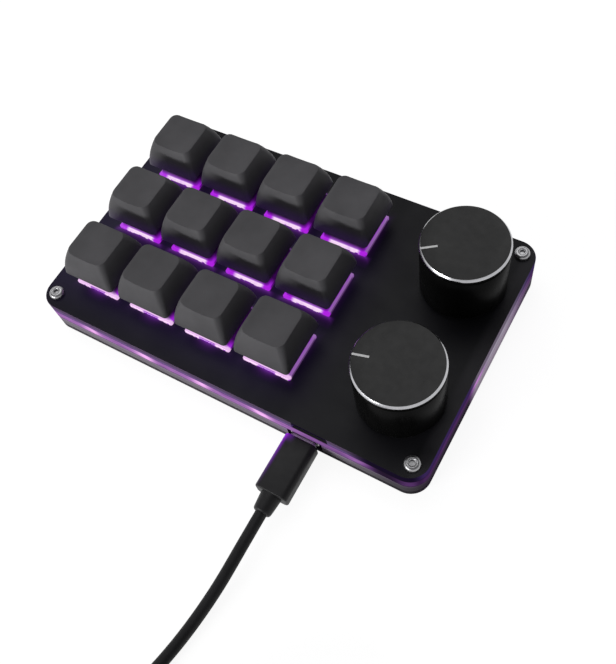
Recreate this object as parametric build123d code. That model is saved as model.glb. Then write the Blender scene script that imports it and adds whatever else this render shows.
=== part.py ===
from build123d import *
import os
from math import cos, pi, radians, sin, sqrt, tan

# Macro keypad: a sandwich of two clear frames between a black top plate and a bottom plate,
# with twelve mechanical keys, two push-and-turn knobs and a USB cable in its front edge.
# Millimetres. X runs along the keypad to the knobs, Y to the back, Z up.
# The origin is the middle of the keypad on the surface that its feet stand on.

# Sandwich of plates
plate_corner_radius = 6.0
top_plate_thickness = 3.0
upper_frame_thickness = 3.6
lower_frame_thickness = 4.4
bottom_plate_thickness = 2.0
frame_wall = 4.0

# Feet
foot_diameter = 9.0
foot_height = 1.2
foot_edge_radius = 0.4
foot_inset = 12.0

# Corner screws and standoffs
screw_inset = 4.4
screw_diameter = 2.5
screw_head_diameter = 4.6
screw_head_height = 1.7
screw_head_dome = 0.5
screw_recess_size = 1.5
screw_recess_depth = 0.9
top_screw_grip = 2.6
bottom_screw_head_diameter = 4.6
bottom_screw_head_height = 1.2
bottom_screw_grip = 3.0
standoff_diameter = 4.4
screw_hole_clearance = 0.1
thread_clearance = 0.03
boss_wall = 2.3

# Key grid
key_columns = 4
key_rows = 3
key_pitch_x = 20.3
key_pitch_y = 22.6
first_key_from_left = 15.65
first_key_from_front = 18.4
last_key_from_back = 16.4
last_column_to_knobs = 37.35

# Key switch
switch_body_size = 14.0
switch_lip_overhang = 0.8
switch_lip_height = 1.0
switch_lip_radius = 0.5
switch_depth = 5.0
switch_top_height = 6.6
switch_lip_ledge = 0.6
switch_top_length = 11.6
switch_top_width = 11.0
switch_hood_radius = 0.8
switch_hood_inner_radius = 0.4
switch_wall = 1.0
switch_floor = 1.2
switch_fit = 0.05
switch_post_diameter = 4.0
switch_post_length = 3.3
switch_post_bore = 2.4
key_travel = 4.0

# Switch stem
stem_length = 7.2
stem_width = 6.2
stem_bore = 4.8
stem_roof = 1.1
stem_flange_length = 9.0
stem_flange_width = 3.0
stem_guide = 0.15
stem_stop_gap = 0.1
stem_bottom_gap = 0.2
stem_shoulder_drop = 0.1
stem_pin_diameter = 1.6
stem_pin_reach = 10.0
cross_size = 4.0
cross_thickness = 1.2
cross_height = 3.6

# Return spring
spring_outer_diameter = 4.2
spring_wire = 0.32
spring_turns = 7
spring_arcs_per_turn = 4

# Keycap
cap_base = 18.0
cap_base_radius = 1.2
cap_top_length = 13.4
cap_top_width = 12.6
cap_top_radius = 2.2
cap_top_setback = 0.4
cap_middle_radius = 1.8
cap_side_swell = 0.5
cap_height = 8.6
cap_wall = 1.4
cap_roof = 1.7
cap_gap = 6.7
cap_dish_depth = 0.5
cap_dish_radius = 36.0
cap_edge_radius = 0.35
cap_inner_radius = 0.6
cap_inner_top_radius = 0.8
cap_socket_diameter = 5.5
cap_socket_gap = 0.2
cap_fit = 0.03

# Board and the chips on it
board_thickness = 1.6
board_clearance = 0.5
led_length = 3.2
led_width = 2.6
led_height = 1.2
led_from_edge = 2.0
led_slot_clearance = 0.4
chip_size = 7.0
chip_height = 0.9
chip_from_back = 18.0

# Rotary encoders
knob_inset = 15.5
knob_pitch = 39.4
knob_shift_back = -0.3
encoder_length = 12.0
encoder_width = 11.7
encoder_height = 6.5
encoder_bush_diameter = 6.9
encoder_bush_height = 6.5
encoder_cavity_diameter = 10.4
encoder_floor = 1.2
encoder_roof = 0.6
encoder_cutout_clearance = 0.4
encoder_edge_chamfer = 0.4
push_travel = 0.5
shaft_diameter = 6.0
shaft_clearance = 0.04
shaft_height = 15.0
shaft_tip_chamfer = 0.4
shaft_flat_height = 7.0
shaft_flat_depth = 1.5
shaft_collar_diameter = 7.6
shaft_collar_height = 0.9
shaft_collar_gap = 0.1
shaft_tongue_width = 4.4
rotor_diameter = 9.8
rotor_height = 2.2
rotor_gap = 0.2

# Knobs
knob_diameter = 24.6
knob_height = 20.0
knob_gap = 1.2
knob_bevel_width = 0.5
knob_bevel_drop = 0.7
knob_groove_drop = 1.5
knob_groove_width = 0.5
knob_groove_depth = 0.25
knob_foot_radius = 0.6
knob_wall = 2.1
knob_roof = 2.6
knob_hub_diameter = 11.0
knob_hub_gap = 1.0
pointer_length = 5.0
pointer_width = 0.7
pointer_depth = 0.15
front_pointer_degrees = -166.2
back_pointer_degrees = -145.8

# USB port
port_x = 29.2
port_opening = 11.0
port_pocket_depth = 2.4
port_notch_depth = 1.0
port_notch_shift = 2.4
port_notch_skin = 0.6
socket_width = 8.94
socket_height = 3.16
socket_length = 7.35
socket_wall = 0.3
socket_radius = 1.2
socket_inner_radius = 1.0
socket_recess = 0.3
socket_tongue_width = 6.6
socket_tongue_thickness = 0.7
socket_tongue_length = 4.4
board_tongue_clearance = 0.4

# USB plugs
plug_shell_width = 8.25
plug_shell_height = 2.4
plug_shell_wall = 0.35
plug_shell_radius = 1.15
plug_shell_inner_radius = 0.8
plug_shell_length = 6.6
plug_standoff = 1.2
plug_body_width = 10.0
plug_body_height = 6.4
plug_body_length = 17.0
plug_body_radius = 1.9
plug_edge_radius = 0.5
relief_start_diameter = 6.0
relief_end_diameter = 4.9
relief_length = 5.4
relief_edge_radius = 0.7
far_plug_width = 15.4
far_plug_height = 7.6
far_plug_length = 21.0
far_shell_width = 12.0
far_shell_height = 4.5
far_shell_wall = 0.4
far_shell_radius = 0.5
far_shell_inner_radius = 0.2
far_shell_length = 12.0
far_shell_tongue_thickness = 1.9
far_shell_tongue_gap = 0.5

# Cable: its route is chosen by hand, apart from the coil
cable_diameter = 3.4
cable_lay = 1.75
lead_straight = 9.0
lead_runs = [(-0.7, -23.4, 3.3), (-2.9, -39.4, cable_lay), (-6.5, -54.0, cable_lay)]
coil_heading = 253.0
coil_run = 14.5
coil_radius = 23.5
coil_pitch = 3.95
coil_layer_step = 3.95
coil_layers = 4
coil_turns_per_layer = 2.5
coil_tail_turns = 0.25
tail_runs = [(11.0, 0.0, 0.0), (20.0, -4.0, -5.2), (19.0, 1.5, -4.2), (18.0, 5.0, 0.0)]
tail_last_run = 12.0
tail_last_bend = 7.0
route_arc_share = 0.45

# Sizes worked out from the ones above
knob_x_from_left = first_key_from_left + (key_columns - 1) * key_pitch_x + last_column_to_knobs
plate_length = knob_x_from_left + knob_inset
plate_width = first_key_from_front + (key_rows - 1) * key_pitch_y + last_key_from_back
switch_lip_size = switch_body_size + 2 * switch_lip_overhang
switch_top_base = switch_lip_size - 2 * switch_lip_ledge
led_offset = switch_body_size / 2 - led_from_edge

# Heights, worked out from the layers up
bottom_plate_z = foot_height
lower_frame_z = bottom_plate_z + bottom_plate_thickness
upper_frame_z = lower_frame_z + lower_frame_thickness
top_plate_z = upper_frame_z + upper_frame_thickness
plate_top_z = top_plate_z + top_plate_thickness
board_top_z = plate_top_z - switch_depth
board_z = board_top_z - board_thickness
switch_floor_z = board_top_z + switch_floor
switch_roof_z = plate_top_z + switch_top_height
stem_top_z = switch_roof_z - stem_shoulder_drop
stem_ceiling_z = stem_top_z - stem_roof
stem_bottom_z = switch_floor_z + key_travel + stem_bottom_gap
cap_bottom_z = plate_top_z + cap_gap
encoder_top_z = board_top_z + encoder_height
bush_top_z = encoder_top_z + encoder_bush_height
shaft_tip_z = encoder_top_z + shaft_height
knob_bottom_z = plate_top_z + knob_gap
knob_top_z = knob_bottom_z + knob_height
port_z = board_z - socket_height / 2

# Places
half_length = plate_length / 2
half_width = plate_width / 2
front_y = -half_width
knob_x = half_length - knob_inset
knob_places = {
    "front": (knob_x, knob_shift_back - knob_pitch / 2, front_pointer_degrees),
    "back": (knob_x, knob_shift_back + knob_pitch / 2, back_pointer_degrees),
}
socket_mouth_y = front_y + socket_recess
socket_back_y = socket_mouth_y + socket_length
plug_front_y = front_y - plug_standoff
plug_back_y = plug_front_y - plug_body_length
relief_end_y = plug_back_y - relief_length
boss_radius = standoff_diameter / 2 + boss_wall


def corner_places(inset):
    x = half_length - inset
    y = half_width - inset
    return [(-x, -y), (x, -y), (x, y), (-x, y)]


def key_place(row, column):
    x = -half_length + first_key_from_left + (column - 1) * key_pitch_x
    y = -half_width + first_key_from_front + (row - 1) * key_pitch_y
    return x, y


def key_places():
    rows = range(1, key_rows + 1)
    columns = range(1, key_columns + 1)
    return [key_place(row, column) for row in rows for column in columns]


def box(x, y, z, length, width, height):
    """A box whose bottom face has its middle at x, y, z."""
    return Pos(x, y, z + height / 2) * Box(length, width, height)


def cylinder(x, y, z, diameter, height):
    """An upright cylinder that starts at height z."""
    return Pos(x, y, z + height / 2) * Cylinder(diameter / 2, height)


def rounded_block(x, y, z, length, width, height, radius):
    return extrude(Plane.XY.offset(z) * Pos(x, y) * RectangleRounded(length, width, radius), height)


def tapered_block(z, bottom, top, height, shift=0.0):
    """A loft from one rounded rectangle (length, width, radius) to another above it."""
    lower = Plane.XY.offset(z) * RectangleRounded(*bottom)
    upper = Plane.XY.offset(z + height) * Pos(0, shift) * RectangleRounded(*top)
    return loft([lower, upper], ruled=True)


def crowned_block(z, bottom, top, height, shift, swell, middle_radius):
    """A tapered block whose sides stand out by the swell half way up."""
    middle_length = (bottom[0] + top[0]) / 2 + 2 * swell
    middle_width = (bottom[1] + top[1]) / 2 + 2 * swell
    lower = Plane.XY.offset(z) * RectangleRounded(*bottom)
    middle = Plane.XY.offset(z + height / 2) * Pos(0, shift / 2) * RectangleRounded(
        middle_length, middle_width, middle_radius)
    upper = Plane.XY.offset(z + height) * Pos(0, shift) * RectangleRounded(*top)
    return loft([lower, middle, upper])


def plate_outline():
    return RectangleRounded(plate_length, plate_width, plate_corner_radius)


def window_outline(gap):
    """The opening inside the frames, drawn in by a gap, with a bite round each corner standoff."""
    length = plate_length - 2 * (frame_wall + gap)
    width = plate_width - 2 * (frame_wall + gap)
    outline = Rectangle(length, width)
    for x, y in corner_places(screw_inset):
        outline -= Pos(x, y) * Circle(boss_radius + gap)
    return outline


def make_top_plate():
    plate = extrude(Plane.XY.offset(top_plate_z) * plate_outline(), top_plate_thickness)
    cut_size = switch_body_size + 2 * switch_fit
    for x, y in key_places():
        plate -= box(x, y, top_plate_z, cut_size, cut_size, top_plate_thickness)
    cut_length = encoder_length + 2 * encoder_cutout_clearance
    cut_width = encoder_width + 2 * encoder_cutout_clearance
    for x, y, pointer in knob_places.values():
        plate -= box(x, y, top_plate_z, cut_length, cut_width, top_plate_thickness)
    for x, y in corner_places(screw_inset):
        hole = screw_diameter + 2 * screw_hole_clearance
        plate -= cylinder(x, y, top_plate_z, hole, top_plate_thickness)
    notch_height = top_plate_thickness - port_notch_skin
    plate -= box(port_x + port_notch_shift, front_y, top_plate_z, port_opening, 2 * port_notch_depth,
                 notch_height)
    return plate


def make_frame(z, thickness):
    frame = extrude(Plane.XY.offset(z) * (plate_outline() - window_outline(0)), thickness)
    for x, y in corner_places(screw_inset):
        frame -= cylinder(x, y, z, standoff_diameter + 2 * screw_hole_clearance, thickness)
    return frame


def make_upper_frame():
    frame = make_frame(upper_frame_z, upper_frame_thickness)
    pocket_y = front_y + frame_wall - port_pocket_depth / 2
    return frame - box(port_x, pocket_y, upper_frame_z, port_opening + 2 * board_clearance,
                       port_pocket_depth, upper_frame_thickness)


def make_lower_frame():
    frame = make_frame(lower_frame_z, lower_frame_thickness)
    return frame - box(port_x, front_y, lower_frame_z, port_opening, 3 * frame_wall, lower_frame_thickness)


def make_bottom_plate():
    plate = extrude(Plane.XY.offset(bottom_plate_z) * plate_outline(), bottom_plate_thickness)
    for x, y in corner_places(screw_inset):
        hole = screw_diameter + 2 * screw_hole_clearance
        plate -= cylinder(x, y, bottom_plate_z, hole, bottom_plate_thickness)
        plate -= Pos(x, y, bottom_plate_z) * countersink(screw_hole_clearance)
    return plate


def countersink(gap):
    """The cone of a flat screw head, wide at the bottom, widened by a gap."""
    wide = bottom_screw_head_diameter / 2 + gap
    narrow = screw_diameter / 2 + gap
    return Pos(0, 0, bottom_screw_head_height / 2) * Cone(wide, narrow, bottom_screw_head_height)


def make_circuit_board():
    outline = window_outline(board_clearance)
    tongue_depth = port_pocket_depth - board_tongue_clearance + board_clearance
    tongue_y = front_y + frame_wall + board_clearance - tongue_depth / 2
    outline += Pos(port_x, tongue_y) * Rectangle(port_opening, tongue_depth)
    board = extrude(Plane.XY.offset(board_z) * outline, board_thickness)
    for x, y in key_places():
        board -= cylinder(x, y, board_z, switch_post_diameter + 2 * switch_fit, board_thickness)
    return board


def make_foot(x, y):
    foot = cylinder(x, y, 0, foot_diameter, foot_height)
    return fillet(foot.edges().group_by(Axis.Z)[0], foot_edge_radius)


def hex_recess(x, y, z):
    """The hexagonal hole for the key, starting at height z."""
    outline = RegularPolygon(screw_recess_size / 2, 6, major_radius=False)
    return extrude(Plane.XY.offset(z) * Pos(x, y) * outline, screw_recess_depth)


def make_top_screw(x, y):
    head = Pos(x, y, plate_top_z) * cylinder(0, 0, 0, screw_head_diameter, screw_head_height)
    head = fillet(head.edges().group_by(Axis.Z)[-1], screw_head_dome)
    recess = hex_recess(x, y, plate_top_z + screw_head_height - screw_recess_depth)
    shank_length = top_plate_thickness + top_screw_grip
    return head - recess + cylinder(x, y, plate_top_z - shank_length, screw_diameter, shank_length)


def make_bottom_screw(x, y):
    shank_length = bottom_plate_thickness + bottom_screw_grip - bottom_screw_head_height
    shank = cylinder(x, y, bottom_plate_z + bottom_screw_head_height, screw_diameter, shank_length)
    return Pos(x, y, bottom_plate_z) * countersink(0) + shank - hex_recess(x, y, bottom_plate_z)


def make_standoff(x, y):
    height = lower_frame_thickness + upper_frame_thickness
    standoff = cylinder(x, y, lower_frame_z, standoff_diameter, height)
    return standoff - cylinder(x, y, lower_frame_z, screw_diameter + 2 * thread_clearance, height)


def make_lower_housing(x, y):
    """Square body clipped in the plate, its lip on the plate and its post in the board."""
    size = switch_body_size
    body = box(0, 0, board_top_z, size, size, switch_depth)
    body += rounded_block(0, 0, plate_top_z, switch_lip_size, switch_lip_size,
                          switch_lip_height, switch_lip_radius)
    inner = size - 2 * switch_wall
    inner_height = switch_depth + switch_lip_height - switch_floor
    body -= box(0, 0, switch_floor_z, inner, inner, inner_height)
    post_height = switch_post_length + switch_floor
    body += cylinder(0, 0, board_top_z - switch_post_length, switch_post_diameter, post_height)
    body -= cylinder(0, 0, board_top_z - switch_post_length, switch_post_bore, post_height)
    slot_length = led_length + 2 * led_slot_clearance
    slot_width = led_width + 2 * led_slot_clearance
    body -= box(0, -led_offset, board_top_z, slot_length, slot_width, led_height + led_slot_clearance)
    return Pos(x, y) * body


def make_upper_housing(x, y):
    """Tapered hood over the stem, standing on the lower housing's lip."""
    z = plate_top_z + switch_lip_height
    height = switch_top_height - switch_lip_height
    outer = (switch_top_base, switch_top_base, switch_hood_radius)
    outer_top = (switch_top_length, switch_top_width, switch_hood_radius)
    inner_base = switch_top_base - 2 * switch_wall
    inner = (inner_base, inner_base, switch_hood_inner_radius)
    inner_top_length = switch_top_length - 2 * switch_wall
    inner_top_width = switch_top_width - 2 * switch_wall
    inner_top = (inner_top_length, inner_top_width, switch_hood_inner_radius)
    hood = tapered_block(z, outer, outer_top, height)
    hood -= tapered_block(z, inner, inner_top, height - switch_wall)
    hole_length = stem_length + 2 * stem_guide
    hole_width = stem_width + 2 * stem_guide
    hood -= box(0, 0, switch_roof_z - switch_wall, hole_length, hole_width, switch_wall)
    return Pos(x, y) * hood


def cross(size, thickness, z, height):
    return box(0, 0, z, size, thickness, height) + box(0, 0, z, thickness, size, height)


def make_stem(x, y):
    """Hollow slider with a cross on top and a guide pin that runs in the housing's post."""
    stem = box(0, 0, stem_bottom_z, stem_length, stem_width, stem_top_z - stem_bottom_z)
    flange_top_z = switch_roof_z - switch_wall - stem_stop_gap
    stem += box(0, 0, stem_bottom_z, stem_flange_length, stem_flange_width, flange_top_z - stem_bottom_z)
    stem -= cylinder(0, 0, stem_bottom_z, stem_bore, stem_ceiling_z - stem_bottom_z)
    stem += cylinder(0, 0, stem_ceiling_z - stem_pin_reach, stem_pin_diameter, stem_pin_reach)
    stem += cross(cross_size, cross_thickness, stem_top_z, cross_height)
    return Pos(x, y) * stem


def is_top_rim(edge):
    """True for the edges round a keycap's dished top."""
    bounds = edge.bounding_box()
    return bounds.min.Z > cap_bottom_z + cap_height / 2 and bounds.size.Z < 2 * cap_dish_depth


def make_keycap(x, y):
    """Tapered hollow cap, its sides a little rounded, with a dished top and a socket for the stem's cross."""
    outer = (cap_base, cap_base, cap_base_radius)
    outer_top = (cap_top_length, cap_top_width, cap_top_radius)
    cap = crowned_block(cap_bottom_z, outer, outer_top, cap_height, cap_top_setback,
                        cap_side_swell, cap_middle_radius)
    dish_z = cap_bottom_z + cap_height - cap_dish_depth + cap_dish_radius
    dish = Pos(0, cap_top_setback, dish_z) * Rot(90, 0, 0) * Cylinder(cap_dish_radius, cap_base * 2)
    cap -= dish
    cap = fillet(cap.edges().filter_by(is_top_rim), cap_edge_radius)
    inner_height = cap_height - cap_roof
    share = inner_height / cap_height
    inner = (cap_base - 2 * cap_wall, cap_base - 2 * cap_wall, cap_inner_radius)
    inner_length = cap_base + (cap_top_length - cap_base) * share - 2 * cap_wall
    inner_width = cap_base + (cap_top_width - cap_base) * share - 2 * cap_wall
    inner_top = (inner_length, inner_width, cap_inner_top_radius)
    cap -= tapered_block(cap_bottom_z, inner, inner_top, inner_height, cap_top_setback * share)
    socket_z = stem_top_z + cap_socket_gap
    cap += cylinder(0, 0, socket_z, cap_socket_diameter, cap_bottom_z + inner_height - socket_z)
    socket_depth = cross_height - cap_socket_gap + cap_fit
    cap -= cross(cross_size + 2 * cap_fit, cross_thickness + 2 * cap_fit, socket_z, socket_depth)
    return Pos(x, y) * cap


def biarc(start, start_direction, end, end_direction):
    """Two arcs that leave the start and reach the end along the given unit directions."""
    span = end - start
    both = start_direction + end_direction
    spread = 2 * (1 - start_direction.dot(end_direction))
    reach = span.dot(span) / (2 * span.dot(both))
    if spread > 1e-9:
        reach = (sqrt(span.dot(both) ** 2 + spread * span.dot(span)) - span.dot(both)) / spread
    middle = (start + end + (start_direction - end_direction) * reach) * 0.5
    first = Edge.make_tangent_arc(start, start_direction, middle)
    second = Edge.make_tangent_arc(middle, first % 1, end)
    return [first, second]


def arcs_through(place, count, step):
    """Biarcs through count + 1 places of a curve, a step apart, along the curve's own directions."""
    small = step / 1000
    edges = []
    for index in range(count):
        ends = [index * step, (index + 1) * step]
        directions = [(place(end + small) - place(end - small)).normalized() for end in ends]
        edges += biarc(place(ends[0]), directions[0], place(ends[1]), directions[1])
    return edges


def tube_along(path, diameter):
    start = path @ 0
    section = Plane(origin=start, z_dir=path % 0) * Circle(diameter / 2)
    return sweep(section, path=path)


def make_spring(x, y):
    """Round-wire spring between the lower housing's floor and the stem's ceiling."""
    radius = (spring_outer_diameter - spring_wire) / 2
    rise = stem_ceiling_z - switch_floor_z - spring_wire

    def place(turn):
        angle = 2 * pi * turn
        z = switch_floor_z + spring_wire / 2 + rise * turn / spring_turns
        return Vector(radius * cos(angle), radius * sin(angle), z)

    wire = Wire(arcs_through(place, spring_turns * spring_arcs_per_turn, 1 / spring_arcs_per_turn))
    return Pos(x, y) * tube_along(wire, spring_wire)


def make_led(x, y):
    return box(x, y - led_offset, board_top_z, led_length, led_width, led_height)


def make_encoder_housing(x, y):
    """Square case on the board with a round bush on top, hollow for the rotor."""
    body = box(0, 0, board_top_z, encoder_length, encoder_width, encoder_height)
    bush = cylinder(0, 0, encoder_top_z, encoder_bush_diameter, encoder_bush_height)
    body += chamfer(bush.edges().group_by(Axis.Z)[-1], encoder_edge_chamfer)
    cavity_z = board_top_z + encoder_floor
    cavity_height = encoder_height - encoder_floor - encoder_roof
    body -= cylinder(0, 0, cavity_z, encoder_cavity_diameter, cavity_height)
    bore = shaft_diameter + 2 * shaft_clearance
    body -= cylinder(0, 0, cavity_z, bore, bush_top_z - cavity_z)
    return Pos(x, y) * body


def rotor_z():
    return board_top_z + encoder_floor + rotor_gap


def shaft_tongue(gap):
    """The flattened foot of the shaft, which the rotor turns with and the push slides in."""
    height = encoder_top_z - rotor_z()
    round_part = cylinder(0, 0, rotor_z(), shaft_diameter + 2 * gap, height)
    flats = box(0, 0, rotor_z(), shaft_tongue_width + 2 * gap, shaft_diameter * 2, height)
    return round_part & flats


def make_rotor(x, y, pointer):
    rotor = cylinder(0, 0, rotor_z(), rotor_diameter, rotor_height) - shaft_tongue(shaft_clearance)
    return Pos(x, y) * Rot(0, 0, pointer) * rotor


def make_shaft(x, y, pointer):
    """Round shaft with a flat for the knob, a collar under the case's roof and a flat foot."""
    collar_top_z = encoder_top_z - encoder_roof - shaft_collar_gap
    collar_z = collar_top_z - shaft_collar_height
    foot_z = rotor_z() + push_travel
    shaft = cylinder(0, 0, collar_z, shaft_diameter, shaft_tip_z - collar_z)
    shaft = chamfer(shaft.edges().group_by(Axis.Z)[-1], shaft_tip_chamfer)
    flat_x = shaft_diameter / 2 - shaft_flat_depth
    shaft -= box(flat_x + shaft_diameter / 2, 0, shaft_tip_z - shaft_flat_height,
                 shaft_diameter, shaft_diameter * 2, shaft_flat_height)
    shaft += cylinder(0, 0, collar_z, shaft_collar_diameter, shaft_collar_height)
    shaft += shaft_tongue(0) & box(0, 0, foot_z, shaft_diameter * 2, shaft_diameter * 2, collar_z - foot_z)
    return Pos(x, y) * Rot(0, 0, pointer) * shaft


def knob_profile():
    """Half section of the knob's outside: bevel at the top, a fine groove below it."""
    radius = knob_diameter / 2
    groove_top_z = knob_top_z - knob_groove_drop
    groove_bottom_z = groove_top_z - knob_groove_width
    points = [
        (0, knob_bottom_z),
        (radius - knob_foot_radius, knob_bottom_z),
        (radius, knob_bottom_z + knob_foot_radius),
        (radius, groove_bottom_z),
        (radius - knob_groove_depth, groove_bottom_z),
        (radius - knob_groove_depth, groove_top_z),
        (radius, groove_top_z),
        (radius, knob_top_z - knob_bevel_drop),
        (radius - knob_bevel_width, knob_top_z),
        (0, knob_top_z),
    ]
    return make_face(Plane.XZ * Polyline(points, close=True))


def make_knob(x, y, pointer):
    """Turned knob, hollow over the encoder, its hub on the shaft's flat, its pointer a filled groove."""
    knob = revolve(knob_profile(), Axis.Z)
    hollow_height = knob_height - knob_roof
    hollow = cylinder(0, 0, knob_bottom_z, knob_diameter - 2 * knob_wall, hollow_height)
    hub_z = bush_top_z + push_travel + knob_hub_gap
    hub = cylinder(0, 0, hub_z, knob_hub_diameter, knob_bottom_z + hollow_height - hub_z)
    knob = knob - hollow + hub
    bore_height = shaft_tip_z + knob_hub_gap / 2 - hub_z
    bore = cylinder(0, 0, hub_z, shaft_diameter + 2 * shaft_clearance, bore_height)
    flat_x = shaft_diameter / 2 - shaft_flat_depth + shaft_clearance
    bore -= box(flat_x + shaft_diameter / 2, 0, hub_z, shaft_diameter, shaft_diameter * 2, bore_height)
    knob -= bore
    pointer_start = knob_diameter / 2 - pointer_length
    knob -= box(pointer_start + pointer_length, 0, knob_top_z - pointer_depth,
                2 * pointer_length, pointer_width, pointer_depth)
    return Pos(x, y) * Rot(0, 0, pointer) * knob


def bar_along_y(x, z, width, height, radius, start_y, length):
    """A bar with a rounded section that runs from start_y towards the front by its length."""
    plane = Plane(origin=(x, start_y, z), x_dir=(1, 0, 0), z_dir=(0, -1, 0))
    return extrude(plane * RectangleRounded(width, height, radius), length)


def make_usb_socket():
    """Rounded metal mouth under the board, with its tongue inside."""
    socket = bar_along_y(port_x, port_z, socket_width, socket_height, socket_radius,
                         socket_back_y, socket_length)
    inner_width = socket_width - 2 * socket_wall
    inner_height = socket_height - 2 * socket_wall
    inner_length = socket_length - socket_wall
    socket -= bar_along_y(port_x, port_z, inner_width, inner_height, socket_inner_radius,
                          socket_back_y - socket_wall, inner_length)
    tongue_y = socket_back_y - socket_tongue_length / 2
    return socket + Pos(port_x, tongue_y, port_z) * Box(
        socket_tongue_width, socket_tongue_length, socket_tongue_thickness)


def make_near_shell():
    length = plug_shell_length
    start_y = plug_front_y + length
    shell = bar_along_y(port_x, port_z, plug_shell_width, plug_shell_height, plug_shell_radius,
                        start_y, length)
    inner_width = plug_shell_width - 2 * plug_shell_wall
    inner_height = plug_shell_height - 2 * plug_shell_wall
    return shell - bar_along_y(port_x, port_z, inner_width, inner_height, plug_shell_inner_radius,
                               start_y, length)


def make_near_body():
    """Moulded grip of the near plug with its tapered strain relief."""
    body = bar_along_y(port_x, port_z, plug_body_width, plug_body_height, plug_body_radius,
                       plug_front_y, plug_body_length)
    ends = body.edges().group_by(Axis.Y)
    body = fillet(ends[0] + ends[-1], plug_edge_radius)
    return body + relief((port_x, plug_back_y, port_z), (0, -1, 0))


def relief(start, direction):
    """Tapered sleeve round the cable where it leaves a plug."""
    half = relief_length / 2
    sleeve = Cone(relief_start_diameter / 2, relief_end_diameter / 2, relief_length)
    sleeve = fillet(sleeve.edges().group_by(Axis.Z)[-1], relief_edge_radius)
    return Plane(origin=start, z_dir=direction) * Pos(0, 0, half) * sleeve


def coil_place(turn):
    """A point on the coil's centre line, which spirals in and out again and climbs at each reversal."""
    layer = min(int(turn / coil_turns_per_layer), coil_layers - 1)
    within = turn - layer * coil_turns_per_layer
    inner_radius = coil_radius - coil_pitch * coil_turns_per_layer
    radius = inner_radius + coil_pitch * within if layer % 2 else coil_radius - coil_pitch * within
    climbs = [(turn - k * coil_turns_per_layer + 0.25) * 2 for k in range(1, coil_layers)]
    height = coil_layer_step * sum(min(max(climb, 0), 1) for climb in climbs)
    angle = coil_start_angle() + 2 * pi * turn
    centre = coil_centre()
    return Vector(centre.X + radius * cos(angle), centre.Y + radius * sin(angle), cable_lay + height)


def lead_places():
    """The lead's route points: along X and Y from the near relief's end, and up from the floor."""
    return [Vector(port_x + across, relief_end_y + along, height) for across, along, height in lead_runs]


def coil_start():
    heading = radians(coil_heading)
    return lead_places()[-1] + Vector(cos(heading), sin(heading), 0) * coil_run


def coil_start_angle():
    return radians(coil_heading - 90)


def coil_centre():
    angle = coil_start_angle()
    return coil_start() - Vector(cos(angle), sin(angle), 0) * coil_radius


def coil_total_turns():
    return coil_layers * coil_turns_per_layer + coil_tail_turns


def flat_direction(direction):
    return Vector(direction.X, direction.Y, 0).normalized()


def coil_path():
    """The coil's wire with its far end: a straight end, biarcs of a quarter turn each, a straight end."""
    turns = coil_total_turns()
    count = round(turns * 4)
    small = 1e-4
    heading = radians(coil_heading)
    start_direction = Vector(cos(heading), sin(heading), 0)
    end_direction = flat_direction(coil_place(turns) - coil_place(turns - small))
    places = [coil_place(index / 4) for index in range(count + 1)]
    directions = [start_direction]
    for index in range(1, count):
        directions.append((coil_place(index / 4 + small) - coil_place(index / 4 - small)).normalized())
    directions.append(end_direction)
    edges = [Edge.make_line(places[0] - start_direction * cable_diameter, places[0])]
    for index in range(count):
        edges += biarc(places[index], directions[index], places[index + 1], directions[index + 1])
    edges.append(Edge.make_line(places[-1], places[-1] + end_direction * cable_diameter))
    return Wire(edges), places[-1] + end_direction * cable_diameter, end_direction


def report_coil_gap():
    """Prints the least gap between turns, measured on points of the centre line."""
    samples = 72
    total = int(coil_total_turns() * samples)
    places = [coil_place(index / samples) for index in range(total + 1)]
    least = min((places[i] - places[j]).length
                for i in range(total + 1) for j in range(i + samples // 2, total + 1))
    print("coil: least gap between turns", round(least - cable_diameter, 2), "mm")


def route_path(name, points):
    """Straight runs joined by tangent arcs, each as large as its two runs allow."""
    radii = []
    for before, corner, after in zip(points, points[1:], points[2:]):
        turn = radians((corner - before).get_angle(after - corner))
        shorter = min((corner - before).length, (after - corner).length)
        radii.append(route_arc_share * shorter / tan(turn / 2))
    print(name, "radii", [round(radius) for radius in radii])
    return FilletPolyline(*points, radius=radii)


def make_lead():
    start = Vector(port_x, relief_end_y, port_z)
    heading = radians(coil_heading)
    end = coil_start() - Vector(cos(heading), sin(heading), 0) * cable_diameter
    points = [start, start - Vector(0, lead_straight, 0)] + lead_places() + [end]
    return tube_along(route_path("lead", points), cable_diameter)


def tail_points():
    """The loose end's route: each run is given along the coil's last direction, across it and up."""
    wire, point, along = coil_path()
    across = Vector(-along.Y, along.X, 0)
    points = [point]
    for forward, sideways, up in tail_runs:
        points.append(points[-1] + along * forward + across * sideways + Vector(0, 0, up))
    last = flat_direction(points[-1] - points[-2]).rotate(Axis.Z, tail_last_bend)
    points.append(points[-1] + last * tail_last_run)
    return points, last


def make_tail():
    points, direction = tail_points()
    return tube_along(route_path("tail", points), cable_diameter)


def far_plane():
    """Plane at the far plug's cable end, its Z pointing out of the plug's mouth."""
    points, direction = tail_points()
    return Plane(origin=points[-1], x_dir=(-direction.Y, direction.X, 0), z_dir=direction)


def make_far_body():
    grip = extrude(RectangleRounded(far_plug_width, far_plug_height, plug_body_radius), far_plug_length)
    ends = grip.edges().group_by(Axis.Z)
    grip = fillet(ends[0] + ends[-1], plug_edge_radius)
    sleeve = relief((0, 0, relief_length), (0, 0, -1))
    return far_plane() * (sleeve + Pos(0, 0, relief_length) * grip)


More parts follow.
